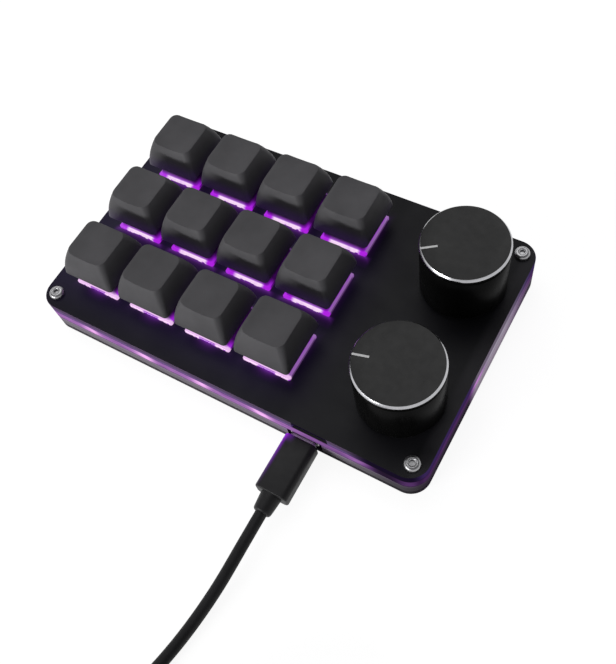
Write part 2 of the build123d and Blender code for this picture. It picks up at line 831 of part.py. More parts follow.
def make_far_shell():
    start_z = relief_length + far_plug_length
    shell = extrude(RectangleRounded(far_shell_width, far_shell_height, far_shell_radius), far_shell_length)
    inner_width = far_shell_width - 2 * far_shell_wall
    inner_height = far_shell_height - 2 * far_shell_wall
    shell -= extrude(RectangleRounded(inner_width, inner_height, far_shell_inner_radius), far_shell_length)
    tongue_y = inner_height / 2 - far_shell_tongue_thickness / 2
    tongue = Pos(0, tongue_y, far_shell_length / 2 - far_shell_tongue_gap / 2) * Box(
        inner_width, far_shell_tongue_thickness, far_shell_length - far_shell_tongue_gap)
    return far_plane() * Pos(0, 0, start_z) * (shell + tongue)


def make_controller_chip():
    """The controller, half way between the last key column's switches and the encoders."""
    switch_edge = key_place(1, key_columns)[0] + switch_body_size / 2
    encoder_edge = knob_x - encoder_length / 2
    x = (switch_edge + encoder_edge) / 2
    return box(x, half_width - chip_from_back, board_top_z, chip_size, chip_size, chip_height)


def make_parts():
    """Every node: its name and its solids."""
    parts = {
        "top_plate": [make_top_plate()],
        "upper_frame": [make_upper_frame()],
        "lower_frame": [make_lower_frame()],
        "bottom_plate": [make_bottom_plate()],
        "circuit_board": [make_circuit_board()],
        "rubber_feet": [make_foot(x, y) for x, y in corner_places(foot_inset)],
        "corner_standoffs": [make_standoff(x, y) for x, y in corner_places(screw_inset)],
        "corner_screws": [make_top_screw(x, y) for x, y in corner_places(screw_inset)]
        + [make_bottom_screw(x, y) for x, y in corner_places(screw_inset)],
        "switch_lower_housings": [make_lower_housing(x, y) for x, y in key_places()],
        "switch_upper_housings": [make_upper_housing(x, y) for x, y in key_places()],
        "board_chips": [make_led(x, y) for x, y in key_places()] + [make_controller_chip()],
        "encoder_housings": [make_encoder_housing(x, y) for x, y, pointer in knob_places.values()],
        "usb_socket": [make_usb_socket()],
        "plug_shells": [make_near_shell(), make_far_shell()],
        "plug_bodies": [make_near_body(), make_far_body()],
        "cable_lead": [make_lead()],
        "cable_coil": [tube_along(coil_path()[0], cable_diameter)],
        "cable_tail": [make_tail()],
    }
    for row in range(1, key_rows + 1):
        for column in range(1, key_columns + 1):
            x, y = key_place(row, column)
            parts[f"keycap_{row}_{column}"] = [make_keycap(x, y)]
            parts[f"switch_stem_{row}_{column}"] = [make_stem(x, y)]
            parts[f"switch_spring_{row}_{column}"] = [make_spring(x, y)]
    for name, (x, y, pointer) in knob_places.items():
        parts[f"{name}_knob"] = [make_knob(x, y, pointer)]
        parts[f"{name}_encoder_shaft"] = [make_shaft(x, y, pointer)]
        parts[f"{name}_encoder_rotor"] = [make_rotor(x, y, pointer)]
    return parts


os.makedirs("parts", exist_ok=True)
for node, shapes in make_parts().items():
    solids = [solid for shape in shapes for solid in shape.solids()]
    export_step(Compound(children=solids), f"parts/{node}.step")
report_coil_gap()
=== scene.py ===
import math

import bmesh
import bpy
from mathutils import Matrix, Vector


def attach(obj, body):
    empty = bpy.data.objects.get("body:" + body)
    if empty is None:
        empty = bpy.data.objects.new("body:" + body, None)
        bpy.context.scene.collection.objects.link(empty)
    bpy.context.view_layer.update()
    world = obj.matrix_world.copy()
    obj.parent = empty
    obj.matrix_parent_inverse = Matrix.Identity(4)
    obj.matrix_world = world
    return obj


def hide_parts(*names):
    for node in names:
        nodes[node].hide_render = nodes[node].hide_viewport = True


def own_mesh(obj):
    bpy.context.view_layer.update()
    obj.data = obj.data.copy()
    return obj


# Macro keypad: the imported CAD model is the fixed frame, and the pieces that show get their finished
# shapes and materials here. Pieces are modelled in millimetres and brought to metres when settled.
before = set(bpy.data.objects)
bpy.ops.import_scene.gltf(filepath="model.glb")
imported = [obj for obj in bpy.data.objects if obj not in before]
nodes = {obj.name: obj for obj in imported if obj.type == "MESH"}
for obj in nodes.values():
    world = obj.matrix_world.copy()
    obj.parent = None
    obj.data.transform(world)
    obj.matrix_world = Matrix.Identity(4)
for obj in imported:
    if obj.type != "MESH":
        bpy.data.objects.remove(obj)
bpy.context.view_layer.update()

MM = 0.001

# Places and sizes in millimetres, as in the part's source
PLATE_LENGTH = 129.4
PLATE_WIDTH = 80.0
PLATE_CORNER = 6.0
PLATE_TOP = 14.2
FRAME_TOP = 11.2
FRAME_JOINT = 7.6
FRAME_BOTTOM = 3.2
BASE_BOTTOM = 1.2
RIM_BREAK = 0.12
FRAME_WALL = 4.0
BOSS_RADIUS = 4.5
STANDOFF_HOLE = 2.3
SCREW_HOLE = 1.35
FRONT_Y = -40.0
BOARD_TOP = 9.2
KEY_X = [-49.05, -28.75, -8.45, 11.85]
KEY_Y = [-21.6, 1.0, 23.6]
KEY_PITCH_X = 20.3
KEY_PITCH_Y = 22.6
CAP_BASE = 18.0
CAP_TOP_LENGTH = 13.4
CAP_TOP_WIDTH = 12.6
CAP_SWELL = 0.5
CAP_BASE_RADIUS = 1.2
CAP_TOP_RADIUS = 2.2
CAP_SETBACK = 0.4
CAP_HEIGHT = 8.6
CAP_BOTTOM = 20.9
CAP_WALL = 1.4
CAP_ROOF = 1.7
CAP_DISH_RADIUS = 36.0
CAP_DISH_DEPTH = 0.5
STEM_TOP = 20.7
LIP_SIZE = 15.6
LIP_TOP = 15.2
SWITCH_SIZE = 14.0
SWITCH_POST_RADIUS = 2.0
SWITCH_POST_BORE = 1.2
HOUSING_WALL = 1.0
HOOD_LEDGE = 0.6
HOOD_LENGTH = 11.6
HOOD_WIDTH = 11.0
HOOD_TOP = 20.8
LED_OFFSET = 5.0
SPRING_RADIUS = 1.94
SPRING_WIRE = 0.32
SPRING_TURNS = 7
SPRING_FLOOR = 10.4
SPRING_TOP = 19.6
KNOB_PLACES = {"front": (49.2, -20.0, -166.2), "back": (49.2, 19.4, -145.8)}
KNOB_RADIUS = 12.3
KNOB_BOTTOM = 15.4
KNOB_TOP = 35.4
BEVEL_INNER = 11.8
BEVEL_LOW = 34.7
POINTER_LENGTH = 5.0
SCREW_X = 60.3
SCREW_Y = 35.6
PORT_X = 29.2
PORT_OPENING = 11.0
NOTCH_LEFT = 26.1
NOTCH_RIGHT = 37.1
NOTCH_DEPTH = 1.0
PORT_Z = 6.02
PLUG_FRONT_Y = -41.2
PLUG_BACK_Y = -58.2

# Finer sizes in millimetres, which the pieces made here have
CAP_SECTIONS = 6
CAP_EDGE = 0.55
CAP_INNER_RADIUS = 0.6
SOCKET_RADIUS = 2.75
CROSS_LENGTH = 4.06
CROSS_WIDTH = 1.26
CROSS_DEPTH = 3.5
KNOB_BORE = 3.04
KNOB_BORE_TOP = 31.2
KNOB_BOSS = 5.5
KNOB_BOSS_BOTTOM = 23.7
KNOB_HOLLOW = 10.2
KNOB_ROOF = 2.6
GROOVE_RADIUS = 11.98
POINTER_WIDTH = 0.7
KEY_CUTOUT = 14.1
ENCODER_CUTOUT = (12.8, 12.5)
CUT_DEPTH = 8.0
NOTCH_HEIGHT = 2.4
BODY_HEIGHT = 5.4
HOOD_CORNER = 0.8
STEM_HOLE = (7.5, 6.5)
LIGHT_WINDOW = (4.6, 1.6, 1.5)
CLIP_GROOVE = (0.8, 1.7, 2.6)
LED_POCKET = (4.0, 3.4, 3.2)
LIP_NOTCHES = [(0, (5.0, 0.7, 0.9)), (-5.2, (0.8, 0.5, 0.7)), (4.4, (1.1, 0.5, 0.7))]
SCREW_SHANK = 1.25
SCREW_HEAD = 2.3
SCREW_END = 8.6
SCREW_DOME = 1.02
HEX_RADIUS = 0.87
NEAR_GRIP = (10.0, 17.0, 6.4)
FAR_GRIP = (15.4, 21.0, 7.6)
GRIP_ROUNDING = 1.9
GRIP_EDGE = 0.55
RELIEF_LENGTH = 5.4

# The cable's route in metres: the same points as in the part's source
CABLE_DIAMETER = 0.0034
CABLE_LAY = 0.00175
LEAD_POINTS = [
    (0.02920, -0.0636, 0.00602),
    (0.02920, -0.0726, 0.00602),
    (0.02850, -0.0870, 0.0033),
    (0.02630, -0.1030, CABLE_LAY),
    (0.02270, -0.1176, CABLE_LAY),
]
COIL_START = (0.01846, -0.13147)
COIL_HEADING = 253.0
COIL_RADIUS = 0.0235
COIL_PITCH = 0.00395
COIL_LAYER_STEP = 0.00395
COIL_LAYERS = 4
COIL_TURNS_PER_LAYER = 2.5
COIL_TAIL_TURNS = 0.25
COIL_POINTS_PER_TURN = 16
TAIL_POINTS = [
    (0.03700, -0.16283, 0.0136),
    (0.04743, -0.16632, 0.0136),
    (0.06513, -0.17646, 0.0084),
    (0.08363, -0.18106, 0.0042),
    (0.10228, -0.18203, 0.0042),
    (0.11425, -0.18118, 0.0042),
]
FAR_PLUG_DIRECTION = (0.99752, 0.07037, 0.0)

# The photograph's camera: its place and axes in metres, its lens from the photograph's own pixels
CAMERA_PLACE = (0.094954, -0.097117, 0.217504)
CAMERA_RIGHT = (0.86133, 0.49096, -0.13065)
CAMERA_UP = (-0.38095, 0.79428, 0.47329)
CAMERA_BACK = (0.33614, -0.35788, 0.87117)
SENSOR = 36.0
FOCAL_PIXELS = 817.24
PHOTO_HEIGHT_PIXELS = 664.0

# Places in the finishes, in millimetres: where the front row begins, and the painted shadow line at a layer's
# joint
FRONT_ROW = (-18.0, -24.0)
JOINT_SHADOW_WIDTH = 0.3

# What more than one finish has: the layers' tint, and the grips' colour, roughness, grain, depth and shine
LAYER_TINT = (1.0, 0.92, 1.04)
GRIP_PLASTIC = ((0.015, 0.0148, 0.016), 0.48, 2200.0, 0.000012, 0.2)


# Camera

def place_camera():
    """The camera of the photograph."""
    turn = Matrix((CAMERA_RIGHT, CAMERA_UP, CAMERA_BACK)).transposed()
    data = bpy.data.cameras.new("camera")
    data.sensor_width = SENSOR
    data.lens = SENSOR * FOCAL_PIXELS / PHOTO_HEIGHT_PIXELS
    data.clip_start = 0.01
    data.clip_end = 20.0
    camera = bpy.data.objects.new("camera", data)
    camera.matrix_world = Matrix.Translation(CAMERA_PLACE) @ turn.to_4x4()
    bpy.context.scene.collection.objects.link(camera)
    bpy.context.scene.camera = camera


# Modelling helpers: each works on the active piece, as by hand

def clear_selection():
    bpy.ops.object.select_all(action="DESELECT")


def make_active(piece):
    clear_selection()
    piece.select_set(True)
    bpy.context.view_layer.objects.active = piece


def begin_edit(kind="FACE"):
    bpy.ops.object.mode_set(mode="EDIT")
    bpy.ops.mesh.select_mode(type=kind)
    bpy.ops.mesh.select_all(action="DESELECT")


def end_edit():
    bpy.ops.object.mode_set(mode="OBJECT")


def pick_all():
    bpy.ops.mesh.select_all(action="SELECT")


def pick(kind, test):
    """Selects the faces or the edges that pass the test."""
    bpy.ops.mesh.select_mode(type=kind)
    bpy.ops.mesh.select_all(action="DESELECT")
    mesh = bpy.context.object.data
    shape = bmesh.from_edit_mesh(mesh)
    for part in shape.faces if kind == "FACE" else shape.edges:
        part.select_set(test(part))
    bmesh.update_edit_mesh(mesh)


def draw_out(direction):
    bpy.ops.mesh.extrude_region_move(TRANSFORM_OT_translate={"value": direction})


def face_outwards():
    pick_all()
    bpy.ops.mesh.normals_make_consistent(inside=False)


def block(size, place):
    """A box of that size with its middle at place, its size applied."""
    clear_selection()
    bpy.ops.mesh.primitive_cube_add(size=1, location=place)
    bpy.ops.transform.resize(value=size)
    bpy.ops.object.transform_apply()
    return bpy.context.object


def turned(rings, steps):
    """A turned piece: a disc drawn from ring to ring, each a radius and a height."""
    clear_selection()
    radius, height = rings[0]
    bpy.ops.mesh.primitive_circle_add(vertices=steps, radius=radius, fill_type="NGON",
                                      location=(0, 0, height))
    bpy.ops.object.transform_apply()
    piece = bpy.context.object
    begin_edit()
    pick_all()
    for new_radius, new_height in rings[1:]:
        draw_out((0, 0, new_height - height))
        share = new_radius / radius
        bpy.ops.transform.resize(value=(share, share, 1), center_override=(0, 0, new_height))
        radius, height = new_radius, new_height
    face_outwards()
    end_edit()
    return piece


def use_modifier(kind, **settings):
    """Adds a modifier to the active piece, sets it and applies it."""
    piece = bpy.context.object
    bpy.ops.object.modifier_add(type=kind)
    modifier = piece.modifiers[-1]
    for name, value in settings.items():
        setattr(modifier, name, value)
    bpy.ops.object.modifier_apply(modifier=modifier.name)


def combine(piece, tool, operation):
    """Cuts the tool from the piece or joins it, and deletes the tool."""
    make_active(piece)
    use_modifier("BOOLEAN", object=tool, operation=operation, solver="EXACT")
    bpy.data.objects.remove(tool)


def cut(piece, tool):
    combine(piece, tool, "DIFFERENCE")


def discard(*pieces):
    for piece in pieces:
        bpy.data.objects.remove(piece)


def soften(width, segments, angle=40):
    """Rounds the active piece's sharp edges."""
    use_modifier("BEVEL", width=width, segments=segments, limit_method="ANGLE",
                 angle_limit=math.radians(angle), harden_normals=False)


def smooth(piece, angle):
    make_active(piece)
    bpy.ops.object.shade_smooth_by_angle(angle=math.radians(angle), keep_sharp_edges=False)


def join(pieces):
    clear_selection()
    for piece in pieces:
        piece.select_set(True)
    bpy.context.view_layer.objects.active = pieces[0]
    bpy.ops.object.join()
    return pieces[0]


def sheet(length, width, radius, place, corner_steps=6):
    """A flat rectangle with rounded corners and its middle at place."""
    clear_selection()
    bpy.ops.mesh.primitive_plane_add(size=1, location=place)
    bpy.ops.transform.resize(value=(length, width, 1))
    bpy.ops.object.transform_apply()
    begin_edit("VERT")
    pick_all()
    bpy.ops.mesh.bevel(offset=radius, segments=corner_steps, affect="VERTICES")
    end_edit()
    return bpy.context.object


def drawn_through(sheets):
    """One closed body with the sheets as its sections from the bottom to the top."""
    heights = [sheets[0].data.vertices[0].co.z, sheets[-1].data.vertices[0].co.z]
    body = join(sheets)
    begin_edit("EDGE")
    pick_all()
    bpy.ops.mesh.delete(type="ONLY_FACE")
    pick_all()
    bpy.ops.mesh.bridge_edge_loops()
    for height in heights:
        pick("EDGE", lambda edge: all(abs(end.co.z - height) < 0.001 for end in edge.verts))
        bpy.ops.mesh.edge_face_add()
    face_outwards()
    end_edit()
    return body


def copy_to(piece, place, turn=0.0):
    """A copy with its own mesh, turned about Z in degrees and moved to place."""
    make_active(piece)
    bpy.ops.object.duplicate()
    twin = bpy.context.object
    twin.rotation_euler = (0, 0, math.radians(turn))
    twin.location = place
    bpy.ops.object.transform_apply()
    return twin


def settle(piece, name, body):
    """Names a finished piece, brings it from millimetres to metres and sets it on its body."""
    make_active(piece)
    piece.name = name
    piece.data.name = name
    piece.scale = (MM, MM, MM)
    bpy.ops.object.transform_apply()
    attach(piece, body)
    return piece


def dress(piece, *materials):
    """Gives the piece its materials, in place of any it has."""
    piece.data.materials.clear()
    for material in materials:
        piece.data.materials.append(material)


def paint_faces(piece, index, test):
    """Gives one of the piece's materials to the faces whose middle and normal pass the test."""
    for face in piece.data.polygons:
        if test(face.center, face.normal):
            face.material_index = index


# Material helpers

class Value:
    """A number that a node tree works out, to be taken further by sums and curves."""

    def __init__(self, tree, socket):
        self.tree = tree
        self.socket = socket

    def __add__(self, other):
        return self.tree.math("ADD", self, other)

    def __sub__(self, other):
        return self.tree.math("SUBTRACT", self, other)

    def __rsub__(self, other):
        return self.tree.math("SUBTRACT", other, self)

    def __mul__(self, other):
        return self.tree.math("MULTIPLY", self, other)

    def __truediv__(self, other):
        return self.tree.math("DIVIDE", self, other)

    def __abs__(self):
        return self.tree.math("ABSOLUTE", self)

    def larger(self, other):
        return self.tree.math("MAXIMUM", self, other)

    def smaller(self, other):
        return self.tree.math("MINIMUM", self, other)

    def spread(self, low, high, start=0.3, end=0.7):
        """Maps the usual range of a noise, or the one given, onto low to high."""
        return self.tree.curve(self, start, end, low, high, "LINEAR")

    def between(self, low, high):
        """Low where the value is nothing, high where it is one."""
        return self.spread(low, high, 0.0, 1.0)

    def step(self, start, end):
        """Nothing before start, one after end, smooth between."""
        return self.tree.curve(self, start, end, 0.0, 1.0, "SMOOTHSTEP")

    def rise(self, start, end):
        """The same for a place, between two places in millimetres."""
        return self.step(start * MM, end * MM)

    def bell(self, middle, width):
        """One at the middle, falling to nothing a few widths away, both in millimetres."""
        offset = (self - middle * MM) / (width * MM)
        return self.tree.math("POWER", math.e, offset * offset * -1.0)

    def decay(self, length):
        """One at nothing, divided by e over each length in millimetres."""
        return self.tree.math("POWER", math.e, self / (-length * MM))


class Tree:
    """A node tree, built step by step."""

    def __init__(self, tree):
        self.nodes = tree.nodes
        self.links = tree.links

    def put(self, value, socket):
        """Gives a socket what a node works out, or sets it to a plain value or a colour."""
        value = value.socket if isinstance(value, Value) else value
        if isinstance(value, bpy.types.NodeSocket):
            self.links.new(value, socket)
        else:
            socket.default_value = (*value, 1.0) if socket.type == "RGBA" else value

    def add(self, kind, inputs, **settings):
        """Adds a node with these settings and inputs, and gives its outputs."""
        node = self.nodes.new(kind)
        for name, value in settings.items():
            setattr(node, name, value)
        for name, value in inputs.items():
            self.put(value, node.inputs[name])
        return node.outputs

    def math(self, operation, first, second=0.0):
        return Value(self, self.add("ShaderNodeMath", {0: first, 1: second}, operation=operation)[0])

    def curve(self, value, start, end, low, high, form):
        """Maps start to end onto low to high, along a straight or a smooth curve."""
        inputs = {"Value": value, "From Min": start, "From Max": end, "To Min": low, "To Max": high}
        return Value(self, self.add("ShaderNodeMapRange", inputs, interpolation_type=form)["Result"])

    def blend(self, share, first, second):
        """A colour between two, by a share."""
        return self.add("ShaderNodeMix", {0: share, 6: first, 7: second}, data_type="RGBA")[2]


class Finish(Tree):
    """A material and its nodes."""

    def __init__(self, name):
        self.material = bpy.data.materials.new(name)
        self.material.use_nodes = True
        super().__init__(self.material.node_tree)
        self.shader = self.nodes["Principled BSDF"]
        self.place = self.add("ShaderNodeTexCoord", {})["Object"]

    def set(self, **values):
        """Sets the shader's own sockets, with _ for a space in their names."""
        for name, value in values.items():
            self.put(value, self.shader.inputs[name.replace("_", " ")])

    def axes(self):
        """A place's X, Y and Z on the object, in metres."""
        return [Value(self, axis) for axis in self.add("ShaderNodeSeparateXYZ", {0: self.place})]

    def noise(self, scale, detail=2.0, stretch=(1, 1, 1)):
        """Noise with about scale cells to the metre, finer along an axis whose stretch is larger."""
        place = self.add("ShaderNodeMapping", {"Vector": self.place, "Scale": stretch})[0]
        inputs = {"Vector": place, "Scale": scale, "Detail": detail}
        return Value(self, self.add("ShaderNodeTexNoise", inputs)["Fac"])

    def bump(self, height, strength, distance):
        inputs = {"Height": height, "Strength": strength, "Distance": distance}
        self.set(Normal=self.add("ShaderNodeBump", inputs)[0])


def grey(level):
    return (level, level, level)


def shaded(colour, share, lift=0.0):
    """The colour with each channel multiplied by the share, then lifted."""
    return tuple(channel * share + lift for channel in colour)


def moulded_plastic(name, colour, roughness, grain, depth, specular=0.5):
    """Fine-grained moulded plastic, a little uneven in tone and gloss."""
    finish = Finish(name)
    tone = finish.noise(90.0, 3.0).spread(0.0, 1.0)
    finish.set(Base_Color=finish.blend(tone, shaded(colour, 0.9), shaded(colour, 1.12, 0.002)),
               Roughness=finish.noise(400.0).spread(roughness - 0.05, roughness + 0.05),
               Specular_IOR_Level=specular)
    finish.bump(finish.noise(grain), 0.35, depth)
    return finish


def key_offset(x, y):
    """A place's offset from its nearest key's middle, along X and along Y."""
    offsets = []
    for value, first, pitch in ((x, KEY_X[0], KEY_PITCH_X), (y, KEY_Y[0], KEY_PITCH_Y)):
        cell = value.tree.math("FLOORED_MODULO", value - (first - pitch / 2) * MM, pitch * MM)
        offsets.append(cell - pitch / 2 * MM)
    return offsets


def rim_faces(x, y):
    """Shares of a place on a layer's rim: on the front or back, a side, the right half, and the stretch of
    the right side where light is painted.
    """
    front = abs(y).rise(36.2, 39.2)
    side = 1.0 - front
    right = x.rise(-10.0, 10.0)
    return front, side, right, side * right * y.rise(-10.5, -4.5) * y.rise(36.0, 12.0)


def joint_shadow_lines(z, bottom, top):
    """Nothing at a layer's two faces, one a little way in from them: the painted shadow at each joint."""
    return z.rise(bottom, bottom + JOINT_SHADOW_WIDTH) * z.rise(top, top - JOINT_SHADOW_WIDTH)


# Finishes: places on the object are in millimetres, levels are shares of full strength

def make_plate_finish():
    """Black acrylic with the keys' purple light painted on it as glow, strong at the front clips, and a faint
    painted wash of that light.
    """
    finish = Finish("black_plate")
    x, y = finish.axes()[:2]
    across, along = key_offset(x, y)
    black = finish.blend(finish.noise(35.0, 3.0), (0.0046, 0.0048, 0.0062), (0.0078, 0.0080, 0.0100))
    # Painted light: the base turns paler right of the keys, and fully so along the right rim, standing in for
    # the brighter light there
    painted_lift_right = (x.rise(20.0, 26.0) * 0.30).larger(x.rise(59.0, 62.5))
    finish.bump(finish.noise(900.0), 0.10, 0.00001)
    outside = (abs(across).larger(abs(along)) - LIP_SIZE * MM / 2).larger(0.0)
    side = along.rise(-7.0, -8.0).larger(0.10)
    focus = across.bell(0.4, 3.1).larger(y.rise(*FRONT_ROW).between(1.0, 0.10))
    left, right = KEY_X[0] - KEY_PITCH_X / 2, KEY_X[-1] + KEY_PITCH_X / 2
    near, far = KEY_Y[0] - KEY_PITCH_Y / 2, KEY_Y[-1] + KEY_PITCH_Y / 2
    in_grid = x.rise(left, left + 1.5) * x.rise(right, right - 1.2)
    in_grid = in_grid * y.rise(near, near + 1.5) * y.rise(far, far - 1.5)
    # Painted light: purple glow around each switch's lip, strongest at its front, and a faint wash over the
    # left and middle
    glow = outside.decay(0.60) * side * focus * 0.26 + outside.decay(2.4) * side * focus * 0.030
    painted_glow_wash = x.rise(34.0, 6.0) * y.rise(36.0, 10.0) * y.rise(-40.0, -29.0).between(0.25, 1.0) * 0.018
    strength = glow * in_grid + painted_glow_wash
    share = painted_glow_wash / strength.larger(0.00001)
    finish.set(Base_Color=finish.blend(painted_lift_right, black, (0.026, 0.025, 0.029)),
               Roughness=finish.noise(160.0, 4.0).spread(0.34, 0.44), Specular_IOR_Level=0.09,
               Emission_Color=finish.blend(share, (0.40, 0.05, 0.80), (0.40, 0.22, 1.0)),
               Emission_Strength=strength)
    return finish.material


def make_plate_edge_finish():
    """The black plate's sawn edge: painted light makes it grey and purple where it is lit, painted shade
    keeps it dark elsewhere and over the port's notch, and its glow is painted light from beneath.
    """
    finish = Finish("black_plate_edge")
    x, y, z = finish.axes()
    front, side, right, right_lit = rim_faces(x, y)
    # Painted shade: the edge over the port's notch stays dark
    over_notch = x.rise(NOTCH_LEFT - 0.4, NOTCH_LEFT + 0.4) * x.rise(NOTCH_RIGHT + 0.4, NOTCH_RIGHT - 0.4)
    plain = 1.0 - over_notch * y.rise(-30.0, -34.0)
    front_lit = front * x.rise(50.0, 40.0) * plain
    # Painted light and shade: lit stretches of the sawn edge are pale grey, shaded ones near black
    lit = (front_lit + right_lit + side * (1.0 - right) * 0.8).smaller(1.0)
    streak = finish.noise(260.0, 3.0, stretch=(1, 1, 0.3))
    pale = finish.blend(streak, (0.104, 0.068, 0.124), (0.154, 0.106, 0.180))
    # Painted light: purple glow along the right side and the front
    glow = right_lit * 0.14 + right * (side - right_lit) * plain * 0.085 + front * 0.014
    glow += front_lit * z.rise(PLATE_TOP - 0.9, FRAME_TOP) * 0.15
    finish.set(Base_Color=finish.blend(lit, (0.0040, 0.0032, 0.0060), pale),
               Emission_Color=finish.blend(right_lit, (0.42, 0.20, 1.0), (0.90, 0.74, 1.0)),
               Emission_Strength=glow, Roughness=streak.spread(0.35, 0.50), Specular_IOR_Level=0.0)
    return finish.material


def make_lit_layer_finish():
    """Clear acrylic whose light from inside is painted as glow, brightest beside each key, with painted shade
    darkening it towards the knobs' front corner.
    """
    finish = Finish("lit_clear_layer")
    x, y, z = finish.axes()
    across, along = key_offset(x, y)
    front, side, right, right_lit = rim_faces(x, y)
    # Painted light: glow along the front and sides, brightest beside each key column and fading towards the
    # right
    columns = across.bell(3.6, 3.0) * x.rise(25.0, 20.0)
    fade = x.rise(53.0, 42.0) * 0.60 + x.rise(38.0, 20.0) * 0.40
    strip = fade * 0.37 + columns * 0.50 + x.bell(46.5, 3.4) * 0.16 + x.bell(61.0, 3.0) * 0.11 + 0.018
    right_strip = y.bell(-4.5, 3.5) * 0.24 + right_lit * 0.24 + side * right * 0.10
    left_strip = side * (1.0 - right) * (along.bell(0.0, 4.5) * 0.45 + 0.30)
    streak = finish.noise(240.0, 3.0, stretch=(1, 1, 3)).spread(0.80, 1.20)
    # Painted shadow: the edge turns dark and its glow fades at each joint with the layers above and below
    clear_of_joint_shadow = joint_shadow_lines(z, FRAME_JOINT, FRAME_TOP)
    strength = (front * strip + left_strip + right_strip * side) * streak * clear_of_joint_shadow
    colour = finish.blend((strength * 1.25).smaller(1.0), (0.58, 0.16, 0.95), (1.0, 0.50, 1.0))
    colour = finish.blend(right_lit * y.rise(-4.0, 4.0), colour, (0.90, 0.78, 1.0))
    # Painted shade: the base darkens towards the right, where the layer is unlit
    base = finish.blend(x.rise(44.0, 54.0), (0.050, 0.032, 0.060), (0.010, 0.009, 0.012))
    finish.set(Base_Color=finish.blend(clear_of_joint_shadow, (0.012, 0.009, 0.014), base),
               Roughness=finish.noise(500.0, 3.0).spread(0.18, 0.28), Specular_IOR_Level=0.0,
               Emission_Color=colour, Emission_Strength=strength)
    return finish.material


def make_clear_layer_finish(name, bottom, top, level):
    """A clear layer's sawn edge, grey, with a little of the light from the layer above painted on as glow,
    and painted shade at its front right.
    """
    finish = Finish(name)
    x, y, z = finish.axes()
    front, side, right, right_lit = rim_faces(x, y)
    # Painted shade: the edge darkens towards the front right, away from the light
    dark = x.rise(38.0, 58.0) * y.rise(-4.5, -10.5) * 0.7
    # Painted shadow: the edge turns dark and its glow fades at each joint
    clear_of_joint_shadow = joint_shadow_lines(z, bottom, top)
    cloud = finish.noise(300.0, 3.0, stretch=(0.4, 0.4, 4))
    base = finish.blend(cloud, shaded(LAYER_TINT, level * 0.8), shaded(LAYER_TINT, level * 1.2))
    base = finish.blend(dark, base, (0.034, 0.032, 0.037))
    # Painted light: glow near the top from the lit layer above, and along the lit stretch of the right side
    glow = front.larger(side) * z.rise(5.4, FRAME_JOINT) * 0.12 * (1.0 - dark)
    glow = (glow + right_lit * 0.22 + side * right * 0.012) * clear_of_joint_shadow
    finish.set(Base_Color=finish.blend(clear_of_joint_shadow, (0.012, 0.011, 0.014), base),
               Roughness=finish.noise(500.0, 3.0).spread(0.22, 0.32), Specular_IOR_Level=0.0,
               Emission_Color=finish.blend(right_lit, (0.75, 0.30, 1.0), (0.95, 0.76, 1.0)),
               Emission_Strength=glow)
    return finish.material


def make_layer_face_finish(name, level):
    """The polished faces and the inside walls of a clear layer."""
    finish = Finish(name)
    finish.set(Base_Color=finish.blend(finish.noise(60.0, 3.0), grey(level * 0.85), grey(level * 1.15)),
               Roughness=finish.noise(300.0, 3.0).spread(0.16, 0.26), Specular_IOR_Level=0.3)
    return finish.material


def make_lip_finish():
    """Clear switch housing whose LED light is painted as glow: pink along its front, purple at the clips,
    ends and sides, with painted shade dimming the inner arms and the side faces.
    """
    finish = Finish("lit_switch_housing")
    x, y, z = finish.axes()
    across, along = key_offset(x, y)
    beside, ahead = abs(across), abs(along)
    front_row = y.rise(*FRONT_ROW)
    outer = x.rise(16.5, 17.5).larger(x.rise(-54.5, -55.5))
    front = ahead.rise(6.3, 6.9) * (1.0 - along.rise(0.0, 1.0) * beside.rise(6.0, 7.0))
    streak = finish.noise(520.0, 3.0, stretch=(1, 0.3, 0.3)).spread(0.80, 1.20)
    middle = abs(across - 0.4 * MM).rise(5.6, 4.2).larger(front_row)
    purple = finish.blend(front_row, (0.46, 0.016, 0.80), (0.66, 0.26, 0.76))
    pink = finish.blend(front_row, (1.0, 0.74, 1.0), (0.90, 0.56, 0.93))
    arm = finish.blend(outer, (0.42, 0.016, 0.80), (0.28, 0.11, 0.40))
    colour = finish.blend(front, arm, finish.blend((middle * streak).smaller(1.0), purple, pink))
    # Painted light: saturated purple where the clips notch the lip, and purple specks along the lip's face
    face = z.rise(15.05, 14.80) * ahead.rise(7.0, 7.6)
    within = abs(across - 0.3 * MM) - 2.8 * MM
    bite = within.rise(0.3, -0.3) * face.larger(ahead.rise(7.3, 7.6)) * front_row
    specks = finish.noise(700.0, 1.0, stretch=(1, 0.1, 0.1)).step(0.56, 0.60)
    colour = finish.blend(bite.larger(specks * face), colour, (0.30, 0.008, 0.56))
    hood = z.rise(15.3, 15.8) * front_row.between(0.9, 0.3)
    colour = finish.blend(hood, colour, (0.30, 0.010, 0.60))
    # Painted shade: the glow dims on the inner columns' arms, on the side faces and up the hood
    inner_arm = beside.rise(5.6, 6.6) * (1.0 - outer) * along.rise(-7.0, -3.6)
    side_face = beside.rise(7.68, 7.78) * ahead.rise(7.2, 6.2)
    low = z.rise(17.2, LIP_TOP)
    strength = (low * 0.87 + 0.05) * (1.0 - inner_arm * 0.92) * (1.0 - side_face * 0.65)
    finish.set(Base_Color=(0.060, 0.045, 0.075), Roughness=0.25, Specular_IOR_Level=0.3,
               Emission_Color=colour, Emission_Strength=strength)
    return finish.material


